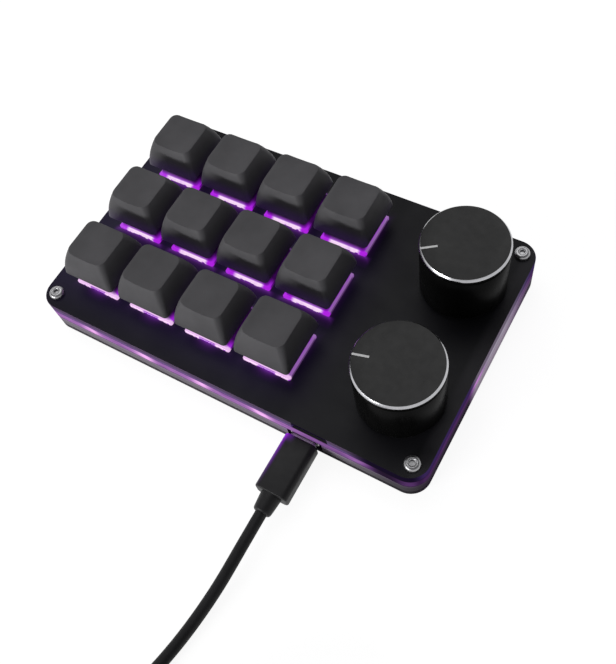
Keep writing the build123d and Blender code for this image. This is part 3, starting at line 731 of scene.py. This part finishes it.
def make_cap_finish():
    """Dark grey matte plastic, fine-grained, with a breath of purple painted on the skirts as the light from
    below.
    """
    finish = moulded_plastic("keycap_plastic", (0.087, 0.085, 0.0905), 0.55, 2600.0, 0.000012, 0.18)
    x, y, z = finish.axes()
    across, along = key_offset(x, y)
    # Painted light: purple glow low on the skirts, mostly their fronts, but not on the front row's front
    # faces
    skirt = abs(across).larger(abs(along)).rise(6.6, 8.2) * 0.20
    skirt = along.rise(-6.4, -8.0).larger(skirt)
    finish.set(Emission_Color=(0.34, 0.06, 0.95),
               Emission_Strength=skirt * z.rise(26.2, 21.8) * y.rise(-28.5, -27.0) * 0.024)
    return finish.material


def make_near_grip_finish():
    """The near grip's plastic, with the light that leaves the port painted as purple glow along its left edge
    and at its front.
    """
    finish = moulded_plastic("near_grip_plastic", *GRIP_PLASTIC)
    x, y, z = finish.axes()
    left = x.rise(PORT_X - 3.2, PORT_X - 4.6) * y.rise(PLUG_BACK_Y - 1.0, PLUG_FRONT_Y - 1.0)
    corner = x.rise(PORT_X - 1.0, PORT_X - 4.6) * y.rise(PLUG_FRONT_Y - 3.0, PLUG_FRONT_Y - 0.2)
    share = (left * 0.42 + corner * 0.38) * z.rise(PORT_Z - 2.5, PORT_Z + 0.5)
    finish.set(Emission_Color=(0.36, 0.01, 0.85), Emission_Strength=share)
    return finish.material


def make_knob_top_finish():
    """Black anodised face, finely blasted."""
    finish = Finish("knob_face")
    finish.set(Base_Color=finish.blend(finish.noise(120.0, 3.0), grey(0.022), grey(0.030)),
               Roughness=finish.noise(500.0).spread(0.40, 0.50), Specular_IOR_Level=0.2)
    finish.bump(finish.noise(1500.0), 0.2, 0.00001)
    return finish.material


def make_knob_side_finish():
    """Black anodised side, glossier than the face."""
    finish = Finish("knob_side")
    streak = finish.noise(300.0, 2.0, stretch=(1, 1, 0.2))
    finish.set(Base_Color=finish.blend(streak, grey(0.0030), grey(0.0055)),
               Roughness=streak.spread(0.24, 0.34), Specular_IOR_Level=0.01)
    return finish.material


def make_bevel_finish():
    """The knob's bright cut bevel."""
    finish = Finish("bright_bevel")
    finish.set(Base_Color=finish.blend(finish.noise(300.0, 2.0), (0.38, 0.38, 0.40), (0.54, 0.54, 0.56)),
               Roughness=finish.noise(900.0).spread(0.16, 0.26), Metallic=1.0)
    return finish.material


def make_white_paint_finish():
    finish = Finish("white_pointer")
    finish.set(Base_Color=finish.blend(finish.noise(600.0), grey(0.66), grey(0.78)), Roughness=0.5,
               Specular_IOR_Level=0.3)
    return finish.material


def make_metal_finish(name, colour, roughness):
    finish = Finish(name)
    finish.set(Base_Color=finish.blend(finish.noise(500.0, 3.0), shaded(colour, 0.8), colour),
               Roughness=finish.noise(1200.0).spread(roughness - 0.06, roughness + 0.06), Metallic=1.0)
    finish.bump(finish.noise(1600.0), 0.2, 0.00001)
    return finish.material


def make_board_finish():
    """Dark solder mask with copper tracks faintly raised under it."""
    finish = Finish("circuit_board")
    tracks = finish.add("ShaderNodeTexBrick", {
        "Vector": finish.place, "Scale": 260.0, "Mortar Size": 0.06, "Color1": (0.006, 0.010, 0.008),
        "Color2": (0.008, 0.013, 0.010), "Mortar": (0.020, 0.034, 0.026)})
    finish.set(Base_Color=tracks["Color"], Roughness=0.35)
    finish.bump(tracks["Fac"], 0.2, 0.00003)
    return finish.material


def make_led_finish():
    finish = Finish("lit_chip")
    finish.set(Base_Color=(0.8, 0.7, 0.85), Roughness=0.4, Emission_Strength=2.0,
               Emission_Color=finish.blend(finish.noise(900.0), (0.85, 0.25, 1.0), (1.0, 0.6, 1.0)))
    return finish.material


# Pieces

def keys():
    """Each key's number and the place of its middle, row by row."""
    for row, y in enumerate(KEY_Y, 1):
        for column, x in enumerate(KEY_X, 1):
            yield f"{row}_{column}", x, y


def cap_section(share, swell=0.0, wall=0.0):
    """A cap's length and width at a share of its height."""
    return [CAP_BASE + (top - CAP_BASE) * share + swell - 2 * wall for top in (CAP_TOP_LENGTH, CAP_TOP_WIDTH)]


def make_keycaps(plastic):
    """Tapered caps with softly rounded sides and a dished top, hollow, with the stem's socket inside."""
    sections = []
    for step in range(CAP_SECTIONS + 1):
        share = step / CAP_SECTIONS
        size = cap_section(share, swell=8 * CAP_SWELL * share * (1 - share))
        sections.append(sheet(*size, CAP_BASE_RADIUS + (CAP_TOP_RADIUS - CAP_BASE_RADIUS) * share,
                              (0, CAP_SETBACK * share, CAP_HEIGHT * share)))
    cap = drawn_through(sections)
    clear_selection()
    bpy.ops.mesh.primitive_cylinder_add(vertices=512, radius=CAP_DISH_RADIUS, depth=2 * CAP_BASE,
                                        location=(0, 0, CAP_HEIGHT - CAP_DISH_DEPTH + CAP_DISH_RADIUS),
                                        rotation=(math.pi / 2, 0, 0))
    cut(cap, bpy.context.object)
    make_active(cap)
    soften(CAP_EDGE, 5, 42)
    inner_height = CAP_HEIGHT - CAP_ROOF
    share = inner_height / CAP_HEIGHT
    hollow = drawn_through([
        sheet(*cap_section(0, wall=CAP_WALL), CAP_INNER_RADIUS, (0, 0, -0.5)),
        sheet(*cap_section(0, wall=CAP_WALL), CAP_INNER_RADIUS, (0, 0, 0)),
        sheet(*cap_section(share, wall=CAP_WALL), CAP_INNER_RADIUS + 0.2,
              (0, CAP_SETBACK * share, inner_height)),
    ])
    cut(cap, hollow)
    socket = turned([(SOCKET_RADIUS, STEM_TOP + 0.2 - CAP_BOTTOM), (SOCKET_RADIUS, inner_height + 0.4)], 48)
    combine(cap, socket, "UNION")
    for length, width in ((CROSS_LENGTH, CROSS_WIDTH), (CROSS_WIDTH, CROSS_LENGTH)):
        cut(cap, block((length, width, CROSS_DEPTH), (0, 0, STEM_TOP - CAP_BOTTOM + CROSS_DEPTH / 2)))
    smooth(cap, 32)
    dress(cap, plastic)
    for key, x, y in keys():
        twin = settle(copy_to(cap, (x, y, CAP_BOTTOM)), f"fine_keycap_{key}", f"key_{key}")
        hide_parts(f"keycap_{key}")
    discard(cap)


def on_bevel(middle, normal):
    """True for a place on a knob's bright bevel."""
    return middle.z > BEVEL_LOW - 0.01 and math.hypot(middle.x, middle.y) > BEVEL_INNER + 0.05


def make_knobs(face, side, bevel, paint):
    """Turned knobs with a bright bevel, a groove below it and a white pointer line out to the rim."""
    roof = KNOB_TOP - KNOB_ROOF
    flat = KNOB_TOP - 0.03
    knob = turned([
        (KNOB_BORE, KNOB_BORE_TOP), (KNOB_BORE, KNOB_BOSS_BOTTOM), (KNOB_BOSS, KNOB_BOSS_BOTTOM),
        (KNOB_BOSS, roof), (KNOB_HOLLOW, roof), (KNOB_HOLLOW, KNOB_BOTTOM), (11.6, KNOB_BOTTOM),
        (11.95, KNOB_BOTTOM + 0.1), (12.2, KNOB_BOTTOM + 0.35), (KNOB_RADIUS, KNOB_BOTTOM + 0.7),
        (KNOB_RADIUS, KNOB_TOP - 2.45), (12.25, KNOB_TOP - 2.25), (12.1, KNOB_TOP - 2.1),
        (GROOVE_RADIUS, KNOB_TOP - 2.07), (GROOVE_RADIUS, KNOB_TOP - 1.6), (12.15, KNOB_TOP - 1.56),
        (KNOB_RADIUS, KNOB_TOP - 1.42), (KNOB_RADIUS, BEVEL_LOW - 0.02), (12.19, BEVEL_LOW + 0.20),
        (12.03, BEVEL_LOW + 0.42), (BEVEL_INNER + 0.03, flat), (BEVEL_INNER - 0.06, KNOB_TOP),
        (BEVEL_INNER - 0.18, flat), (8.0, flat), (4.0, flat), (1.0, flat),
    ], 160)
    cut(knob, block((POINTER_LENGTH, POINTER_WIDTH, 0.3),
                    (KNOB_RADIUS - POINTER_LENGTH / 2 + 0.05, 0, KNOB_TOP)))
    smooth(knob, 30)
    dress(knob, side, face, bevel)
    paint_faces(knob, 1, lambda middle, normal: middle.z > KNOB_TOP - 0.3)
    paint_faces(knob, 2, on_bevel)
    inner = KNOB_RADIUS - POINTER_LENGTH + 0.06
    inlay = block((BEVEL_INNER - inner, POINTER_WIDTH - 0.08, 0.14),
                  ((BEVEL_INNER + inner) / 2, 0, KNOB_TOP - 0.08))
    begin_edit()
    pick("FACE", lambda face: face.normal.x > 0.9)
    draw_out((KNOB_RADIUS - BEVEL_INNER - 0.1, 0, BEVEL_LOW + 0.1 - KNOB_TOP))
    end_edit()
    soften(0.03, 2)
    dress(inlay, paint)
    for name, (x, y, angle) in KNOB_PLACES.items():
        twin = settle(copy_to(knob, (x, y, 0), angle), f"fine_{name}_knob", f"{name}_push")
        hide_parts(f"{name}_knob")
        line_twin = settle(copy_to(inlay, (x, y, 0), angle), f"{name}_pointer", f"{name}_push")
    discard(knob, inlay)


def drill(piece, radius, bottom, top, places, end_radius=None):
    """Cuts a round hole through the piece at each place, tapered to the end radius where one is given."""
    for x, y in places:
        clear_selection()
        bpy.ops.mesh.primitive_cone_add(vertices=40, radius1=radius, radius2=end_radius or radius,
                                        depth=top - bottom, location=(x, y, (top + bottom) / 2))
        cut(piece, bpy.context.object)


def layer(bottom, top):
    """A plate's outline from bottom to top, its rims a little broken."""
    small = (PLATE_LENGTH - 2 * RIM_BREAK, PLATE_WIDTH - 2 * RIM_BREAK, PLATE_CORNER - RIM_BREAK)
    full = (PLATE_LENGTH, PLATE_WIDTH, PLATE_CORNER)
    return drawn_through([
        sheet(*small, (0, 0, bottom), 16), sheet(*full, (0, 0, bottom + RIM_BREAK), 16),
        sheet(*full, (0, 0, top - RIM_BREAK), 16), sheet(*small, (0, 0, top), 16),
    ])


def on_edge(middle, normal):
    """True for a face of a plate's outer edge."""
    out_x = max(abs(middle.x) - PLATE_LENGTH / 2 + PLATE_CORNER, 0)
    out_y = max(abs(middle.y) - PLATE_WIDTH / 2 + PLATE_CORNER, 0)
    return abs(normal.z) < 0.9 and math.hypot(out_x, out_y) > PLATE_CORNER - 0.4


def in_notch(middle, normal):
    """True for a face of the top plate's notch or of the front edge below the plate's top."""
    return middle.z < PLATE_TOP - 0.5 and middle.y < FRONT_Y + NOTCH_DEPTH + 0.1


def finish_layer(plate, name, cad_name, face, edge):
    """Smooths a layer, gives it two finishes and sets it in place of its CAD node."""
    smooth(plate, 30)
    dress(plate, face, edge)
    paint_faces(plate, 1, on_edge)
    paint_faces(plate, 1, in_notch)
    settle(plate, name, "case")
    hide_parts(cad_name)


def make_layers():
    """The four layers of the sandwich, each with two finishes: faces and sawn edge."""
    corners = [(x, y) for x in (-SCREW_X, SCREW_X) for y in (-SCREW_Y, SCREW_Y)]
    plate = layer(FRAME_TOP, PLATE_TOP)
    for x in KEY_X:
        for y in KEY_Y:
            cut(plate, block((KEY_CUTOUT, KEY_CUTOUT, CUT_DEPTH), (x, y, PLATE_TOP)))
    for x, y, _ in KNOB_PLACES.values():
        cut(plate, block((*ENCODER_CUTOUT, CUT_DEPTH), (x, y, PLATE_TOP)))
    cut(plate, block((NOTCH_RIGHT - NOTCH_LEFT, 2 * NOTCH_DEPTH, 2 * NOTCH_HEIGHT),
                     ((NOTCH_LEFT + NOTCH_RIGHT) / 2, FRONT_Y, FRAME_TOP)))
    drill(plate, SCREW_HOLE, FRAME_TOP - 1, PLATE_TOP + 1, corners)
    finish_layer(plate, "fine_top_plate", "top_plate",
                 make_plate_finish(), make_plate_edge_finish())
    inside = make_layer_face_finish("clear_acrylic_face", 0.05)
    for bottom, top, name, edge in (
            (FRAME_JOINT, FRAME_TOP, "upper_frame", make_lit_layer_finish()),
            (FRAME_BOTTOM, FRAME_JOINT, "lower_frame",
             make_clear_layer_finish("clear_layer_edge", FRAME_BOTTOM, FRAME_JOINT, 0.24))):
        frame_layer = layer(bottom, top)
        window = block((PLATE_LENGTH - 2 * FRAME_WALL, PLATE_WIDTH - 2 * FRAME_WALL, top - bottom + 2),
                       (0, 0, (top + bottom) / 2))
        drill(window, BOSS_RADIUS, bottom - 2, top + 2, corners)
        cut(frame_layer, window)
        drill(frame_layer, STANDOFF_HOLE, bottom - 1, top + 1, corners)
        if name == "upper_frame":
            opening = block((PORT_OPENING + 1.0, 2.4, 9.0), (PORT_X, FRONT_Y + FRAME_WALL - 1.2, bottom))
        else:
            opening = block((PORT_OPENING, 12.0, 12.0), (PORT_X, FRONT_Y, bottom))
        cut(frame_layer, opening)
        finish_layer(frame_layer, "fine_" + name, name, inside, edge)
    base = layer(BASE_BOTTOM, FRAME_BOTTOM)
    drill(base, SCREW_HOLE, BASE_BOTTOM - 1, FRAME_BOTTOM + 1, corners)
    drill(base, SCREW_HEAD + 0.1, BASE_BOTTOM, BASE_BOTTOM + 1.2, corners, SCREW_HOLE)
    finish_layer(base, "fine_bottom_plate", "bottom_plate",
                 make_layer_face_finish("smoked_acrylic_face", 0.02),
                 make_clear_layer_finish("smoked_layer_edge", BASE_BOTTOM, FRAME_BOTTOM, 0.085))


def hollow_hood():
    """The tapered upper half of a switch, hollow, with clip grooves, a light window and the stem's hole."""
    base = LIP_SIZE - 2 * HOOD_LEDGE
    inner_base = base - 2 * HOUSING_WALL
    hood = drawn_through([sheet(base, base, HOOD_CORNER, (0, 0, LIP_TOP)),
                          sheet(HOOD_LENGTH, HOOD_WIDTH, HOOD_CORNER, (0, 0, HOOD_TOP))])
    soften(0.15, 2, 60)
    inner = drawn_through([
        sheet(inner_base, inner_base, 0.4, (0, 0, LIP_TOP - 0.2)),
        sheet(inner_base, inner_base, 0.4, (0, 0, LIP_TOP)),
        sheet(HOOD_LENGTH - 2 * HOUSING_WALL, HOOD_WIDTH - 2 * HOUSING_WALL, 0.4,
              (0, 0, HOOD_TOP - HOUSING_WALL)),
    ])
    cut(hood, inner)
    cut(hood, block((*STEM_HOLE, 2.0), (0, 0, HOOD_TOP)))
    cut(hood, block(LIGHT_WINDOW, (0, -5.9, HOOD_TOP - 2.1)))
    for side in (-1, 1):
        for place in (-3.4, 3.4):
            cut(hood, block(CLIP_GROOVE, (side * 7.2, place, LIP_TOP + 1.1)))
    smooth(hood, 40)
    return hood


def lipped_body():
    """The lower half of a switch: a square body with a lip, its front and back notched by the clips."""
    body = drawn_through([sheet(LIP_SIZE - narrower, LIP_SIZE - narrower, radius, (0, 0, height))
                          for narrower, radius, height in (
                              (0.2, 0.4, PLATE_TOP), (0.0, 0.5, PLATE_TOP + 0.1),
                              (0.0, 0.5, LIP_TOP - 0.15), (0.3, 0.4, LIP_TOP))])
    middle = BOARD_TOP + BODY_HEIGHT / 2
    combine(body, block((SWITCH_SIZE, SWITCH_SIZE, BODY_HEIGHT), (0, 0, middle)), "UNION")
    post = turned([(SWITCH_POST_RADIUS, BOARD_TOP - 3.3), (SWITCH_POST_RADIUS, BOARD_TOP + 0.6)], 32)
    combine(body, post, "UNION")
    inner = SWITCH_SIZE - 2 * HOUSING_WALL
    cut(body, block((inner, inner, 6.0), (0, 0, SPRING_FLOOR + 3.0)))
    bore = turned([(SWITCH_POST_BORE, BOARD_TOP - 4.0), (SWITCH_POST_BORE, SPRING_FLOOR + 0.5)], 32)
    cut(body, bore)
    cut(body, block(LED_POCKET, (0, -LED_OFFSET, BOARD_TOP)))
    for side in (-1, 1):
        for place, size in LIP_NOTCHES:
            cut(body, block(size, (place, side * LIP_SIZE / 2, PLATE_TOP)))
    smooth(body, 40)
    return body


def make_switches(lit):
    """The twelve switches' clear housings, in two pieces as they clip together."""
    for shape, name, cad_name in ((lipped_body(), "fine_switch_bodies", "switch_lower_housings"),
                                  (hollow_hood(), "fine_switch_hoods", "switch_upper_housings")):
        dress(shape, lit)
        twins = [copy_to(shape, (x, y, 0)) for _, x, y in keys()]
        discard(shape)
        housings = settle(join(twins), name, "case")
        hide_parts(cad_name)


def make_screw(profile, steps, hex_middle, hex_depth, angle, steel):
    """A turned screw with a hexagonal recess in its head."""
    screw = turned(profile, steps)
    clear_selection()
    bpy.ops.mesh.primitive_cylinder_add(vertices=6, radius=HEX_RADIUS, depth=hex_depth,
                                        location=(0, 0, hex_middle))
    cut(screw, bpy.context.object)
    smooth(screw, angle)
    dress(screw, steel)
    return screw


def make_screws(steel):
    """Button-headed screws with a hexagonal recess in the top, and countersunk ones below."""
    rim = PLATE_TOP + 0.55
    head = [(SCREW_SHANK, SCREW_END), (SCREW_SHANK, PLATE_TOP), (SCREW_HEAD - 0.06, PLATE_TOP),
            (SCREW_HEAD, PLATE_TOP + 0.06), (SCREW_HEAD, rim)]
    for step in range(1, 10):
        angle = math.radians(step * 9.5)
        head.append((SCREW_HEAD - 1.0 + math.cos(angle), rim + SCREW_DOME * math.sin(angle)))
    head += [(1.15, PLATE_TOP + 1.56), (1.0, PLATE_TOP + 1.48), (0.92, PLATE_TOP + 1.36)]
    high = make_screw(head, 64, PLATE_TOP + 1.75, 2, 32, steel)
    low = make_screw([(SCREW_SHANK, 6.2), (SCREW_SHANK, BASE_BOTTOM + 1.2), (SCREW_HEAD, BASE_BOTTOM)], 48,
                     BASE_BOTTOM, 1.8, 40, steel)
    twins = []
    for x, y in ((-SCREW_X, -SCREW_Y), (SCREW_X, -SCREW_Y), (SCREW_X, SCREW_Y), (-SCREW_X, SCREW_Y)):
        twins.append(copy_to(high, (x, y, 0), 15 * len(twins) + 10))
        twins.append(copy_to(low, (x, y, 0), 20 * len(twins)))
    discard(high, low)
    screws = settle(join(twins), "fine_corner_screws", "case")
    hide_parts("corner_screws")


def make_springs(steel):
    """The return springs, a coil of wire standing on each housing's floor."""
    height = SPRING_TOP - SPRING_FLOOR
    clear_selection()
    bpy.ops.mesh.primitive_circle_add(vertices=8, radius=SPRING_WIRE / 2, rotation=(math.pi / 2, 0, 0),
                                      location=(SPRING_RADIUS, 0, SPRING_FLOOR + SPRING_WIRE / 2))
    bpy.ops.object.transform_apply()
    coil = bpy.context.object
    use_modifier("SCREW", axis="Z", angle=2 * math.pi, screw_offset=(height - SPRING_WIRE) / SPRING_TURNS,
                 iterations=SPRING_TURNS, steps=24, render_steps=24, use_smooth_shade=True)
    begin_edit("EDGE")
    pick_all()
    bpy.ops.mesh.fill_holes(sides=8)
    face_outwards()
    end_edit()
    dress(coil, steel)
    for key, x, y in keys():
        twin = settle(copy_to(coil, (x, y, 0)), f"fine_switch_spring_{key}", "case")
        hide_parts(f"switch_spring_{key}")
        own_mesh(twin)
    discard(coil)


def make_plugs(grip):
    """The near plug in the port and the far one at the cable's other end, each with its relief."""
    near = grip_shape(*NEAR_GRIP)
    near.location = (PORT_X, PLUG_FRONT_Y, PORT_Z)
    far = grip_shape(*FAR_GRIP)
    along = Vector(FAR_PLUG_DIRECTION)
    far.rotation_euler = (0, 0, math.atan2(along.y, along.x) - math.pi / 2)
    far.location = Vector(TAIL_POINTS[-1]) / MM + along * (RELIEF_LENGTH + FAR_GRIP[1])
    grips = []
    for piece, name, material in ((near, "near_plug_grip", make_near_grip_finish()),
                                  (far, "far_plug_grip", grip)):
        make_active(piece)
        bpy.ops.object.transform_apply()
        dress(piece, material)
        grips.append(settle(piece, name, "case"))
        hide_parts("plug_bodies")
    return grips


def grip_shape(width, length, height):
    """A moulded grip: its front face at the origin, running towards the front, with a relief on its end."""
    body = block((width, length, height), (0, -length / 2, 0))
    begin_edit()
    pick("EDGE", lambda edge: abs(edge.verts[0].co.y - edge.verts[1].co.y) > length / 2)
    bpy.ops.mesh.bevel(offset=GRIP_ROUNDING, offset_type="OFFSET", segments=8, affect="EDGES")
    end_edit()
    soften(GRIP_EDGE, 4, 60)
    sleeve = turned([(1.2, 0.5), (3.0, 0.5), (3.0, -0.4), (2.93, -1.4), (2.84, -2.4), (2.75, -3.4),
                     (2.66, -4.3), (2.58, -4.8), (2.4, -5.15), (2.1, -5.35), (1.72, -RELIEF_LENGTH)], 48)
    sleeve.rotation_euler = (-math.pi / 2, 0, 0)
    make_active(sleeve)
    sleeve.location = (0, -length, 0)
    bpy.ops.object.transform_apply()
    piece = join([body, sleeve])
    smooth(piece, 40)
    return piece


def coil_points():
    """The coil's turns, flat spirals in and out again that climb a layer at each reversal."""
    start_angle = math.radians(COIL_HEADING - 90)
    middle_x = COIL_START[0] - math.cos(start_angle) * COIL_RADIUS
    middle_y = COIL_START[1] - math.sin(start_angle) * COIL_RADIUS
    inner = COIL_RADIUS - COIL_PITCH * COIL_TURNS_PER_LAYER
    total = COIL_LAYERS * COIL_TURNS_PER_LAYER + COIL_TAIL_TURNS
    points = []
    for step in range(int(total * COIL_POINTS_PER_TURN) + 1):
        turn = step / COIL_POINTS_PER_TURN
        level = min(int(turn / COIL_TURNS_PER_LAYER), COIL_LAYERS - 1)
        within = turn - level * COIL_TURNS_PER_LAYER
        radius = inner + COIL_PITCH * within if level % 2 else COIL_RADIUS - COIL_PITCH * within
        climbs = [(turn - k * COIL_TURNS_PER_LAYER + 0.25) * 2 for k in range(1, COIL_LAYERS)]
        height = CABLE_LAY + COIL_LAYER_STEP * sum(min(max(climb, 0), 1) for climb in climbs)
        angle = start_angle + 2 * math.pi * turn
        points.append((middle_x + radius * math.cos(angle), middle_y + radius * math.sin(angle), height))
    return points


def make_cable(sheath):
    """One smooth cable from the near plug through its coil to the far plug."""
    points = LEAD_POINTS + coil_points() + TAIL_POINTS
    line = bpy.data.curves.new("usb_cable", "CURVE")
    line.dimensions = "3D"
    spline = line.splines.new("NURBS")
    spline.points.add(len(points) - 1)
    for control, place in zip(spline.points, points):
        control.co = (*place, 1.0)
    spline.order_u = 3
    spline.use_endpoint_u = True
    spline.resolution_u = 6
    line.bevel_depth = CABLE_DIAMETER / 2
    line.bevel_resolution = 6
    line.use_fill_caps = True
    cable = bpy.data.objects.new("usb_cable", line)
    bpy.context.scene.collection.objects.link(cable)
    dress(cable, sheath)
    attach(cable, "case")
    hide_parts("cable_lead", "cable_coil", "cable_tail")


def dress_nodes(finishes):
    """Gives every CAD node that still shows its finished material."""
    for name, node in nodes.items():
        for start, material in finishes.items():
            if name.startswith(start):
                dress(node, material)


# Floor and light

def background_rays(tree, share=None):
    """One for the rays that see the background: the camera's own, and those in metal and glass by a share."""
    ray = tree.add("ShaderNodeLightPath", {})
    mirrored = tree.math("MAXIMUM", ray["Is Glossy Ray"], ray["Is Transmission Ray"])
    return tree.math("MAXIMUM", ray["Is Camera Ray"], mirrored * share if share else mirrored)


def make_floor():
    """A plain white floor that keeps the object's shadow."""
    clear_selection()
    bpy.ops.mesh.primitive_plane_add(size=6, location=(0, 0, 0))
    floor = bpy.context.object
    floor.name = "floor"
    material = bpy.data.materials.new("floor_white")
    material.use_nodes = True
    tree = Tree(material.node_tree)
    tree.nodes.clear()
    bounce = tree.add("ShaderNodeBsdfDiffuse", {"Color": grey(0.50)})[0]
    matte = tree.add("ShaderNodeBsdfDiffuse", {"Color": grey(0.22)})[0]
    glow = tree.add("ShaderNodeEmission", {"Color": grey(1.0), "Strength": 0.91})[0]
    both = tree.add("ShaderNodeAddShader", {0: matte, 1: glow})[0]
    mix = tree.add("ShaderNodeMixShader", {0: background_rays(tree), 1: bounce, 2: both})[0]
    tree.add("ShaderNodeOutputMaterial", {0: mix})
    dress(floor, material)


def add_softbox(name, place, aim, size, power):
    data = bpy.data.lights.new(name, "AREA")
    data.shape = "RECTANGLE"
    data.size, data.size_y = size
    data.energy = power
    light = bpy.data.objects.new(name, data)
    light.location = place
    light.rotation_euler = (Vector(aim) - Vector(place)).to_track_quat("-Z", "Y").to_euler()
    bpy.context.scene.collection.objects.link(light)


def make_light():
    """A white backdrop under a dimmer ceiling, a softbox low at the front and one high at the back left."""
    world = bpy.data.worlds.new("studio")
    world.use_nodes = True
    tree = Tree(world.node_tree)
    direction = tree.add("ShaderNodeTexCoord", {})["Generated"]
    height = Value(tree, tree.add("ShaderNodeSeparateXYZ", {0: direction})[2])
    seen = background_rays(tree, height.step(0.55, 0.20))
    background = tree.nodes["Background"]
    tree.put(tree.blend(seen, (0.16, 0.16, 0.166), grey(1.0)), background.inputs["Color"])
    tree.put(1.0, background.inputs["Strength"])
    bpy.context.scene.world = world
    add_softbox("front_left_softbox", (-0.36, -0.86, 0.255), (0, 0, 0.02), (0.50, 0.09), 5.4)
    add_softbox("back_left_softbox", (-0.32, 0.36, 0.99), (0, 0, 0), (0.9, 0.9), 4.4)


place_camera()
make_floor()
make_light()

steel = make_metal_finish("bright_steel", (0.44, 0.44, 0.45), 0.36)
make_keycaps(make_cap_finish())
make_knobs(make_knob_top_finish(), make_knob_side_finish(), make_bevel_finish(), make_white_paint_finish())
make_screws(steel)
make_layers()
make_switches(make_lip_finish())
make_springs(steel)
grips = make_plugs(moulded_plastic("plug_grip_plastic", *GRIP_PLASTIC).material)
sheath = moulded_plastic("cable_sheath_rubber", (0.011, 0.011, 0.0118), 0.55, 1500.0, 0.00001, 0.2).material
make_cable(sheath)
dress_nodes({
    "circuit_board": make_board_finish(),
    "rubber_feet": moulded_plastic("foot_rubber", grey(0.012), 0.7, 1500.0, 0.00002).material,
    "corner_standoffs": make_metal_finish("turned_brass", (0.62, 0.45, 0.18), 0.3),
    "board_chips": make_led_finish(),
    "encoder_housings": make_metal_finish("pressed_zinc", (0.45, 0.45, 0.46), 0.35),
    "usb_socket": steel,
    "plug_shells": steel,
    "switch_stem": moulded_plastic("stem_plastic", (0.25, 0.02, 0.02), 0.4, 1500.0, 0.00001).material,
    "front_encoder": steel,
    "back_encoder": steel,
})

bpy.context.scene.view_settings.view_transform = "Standard"
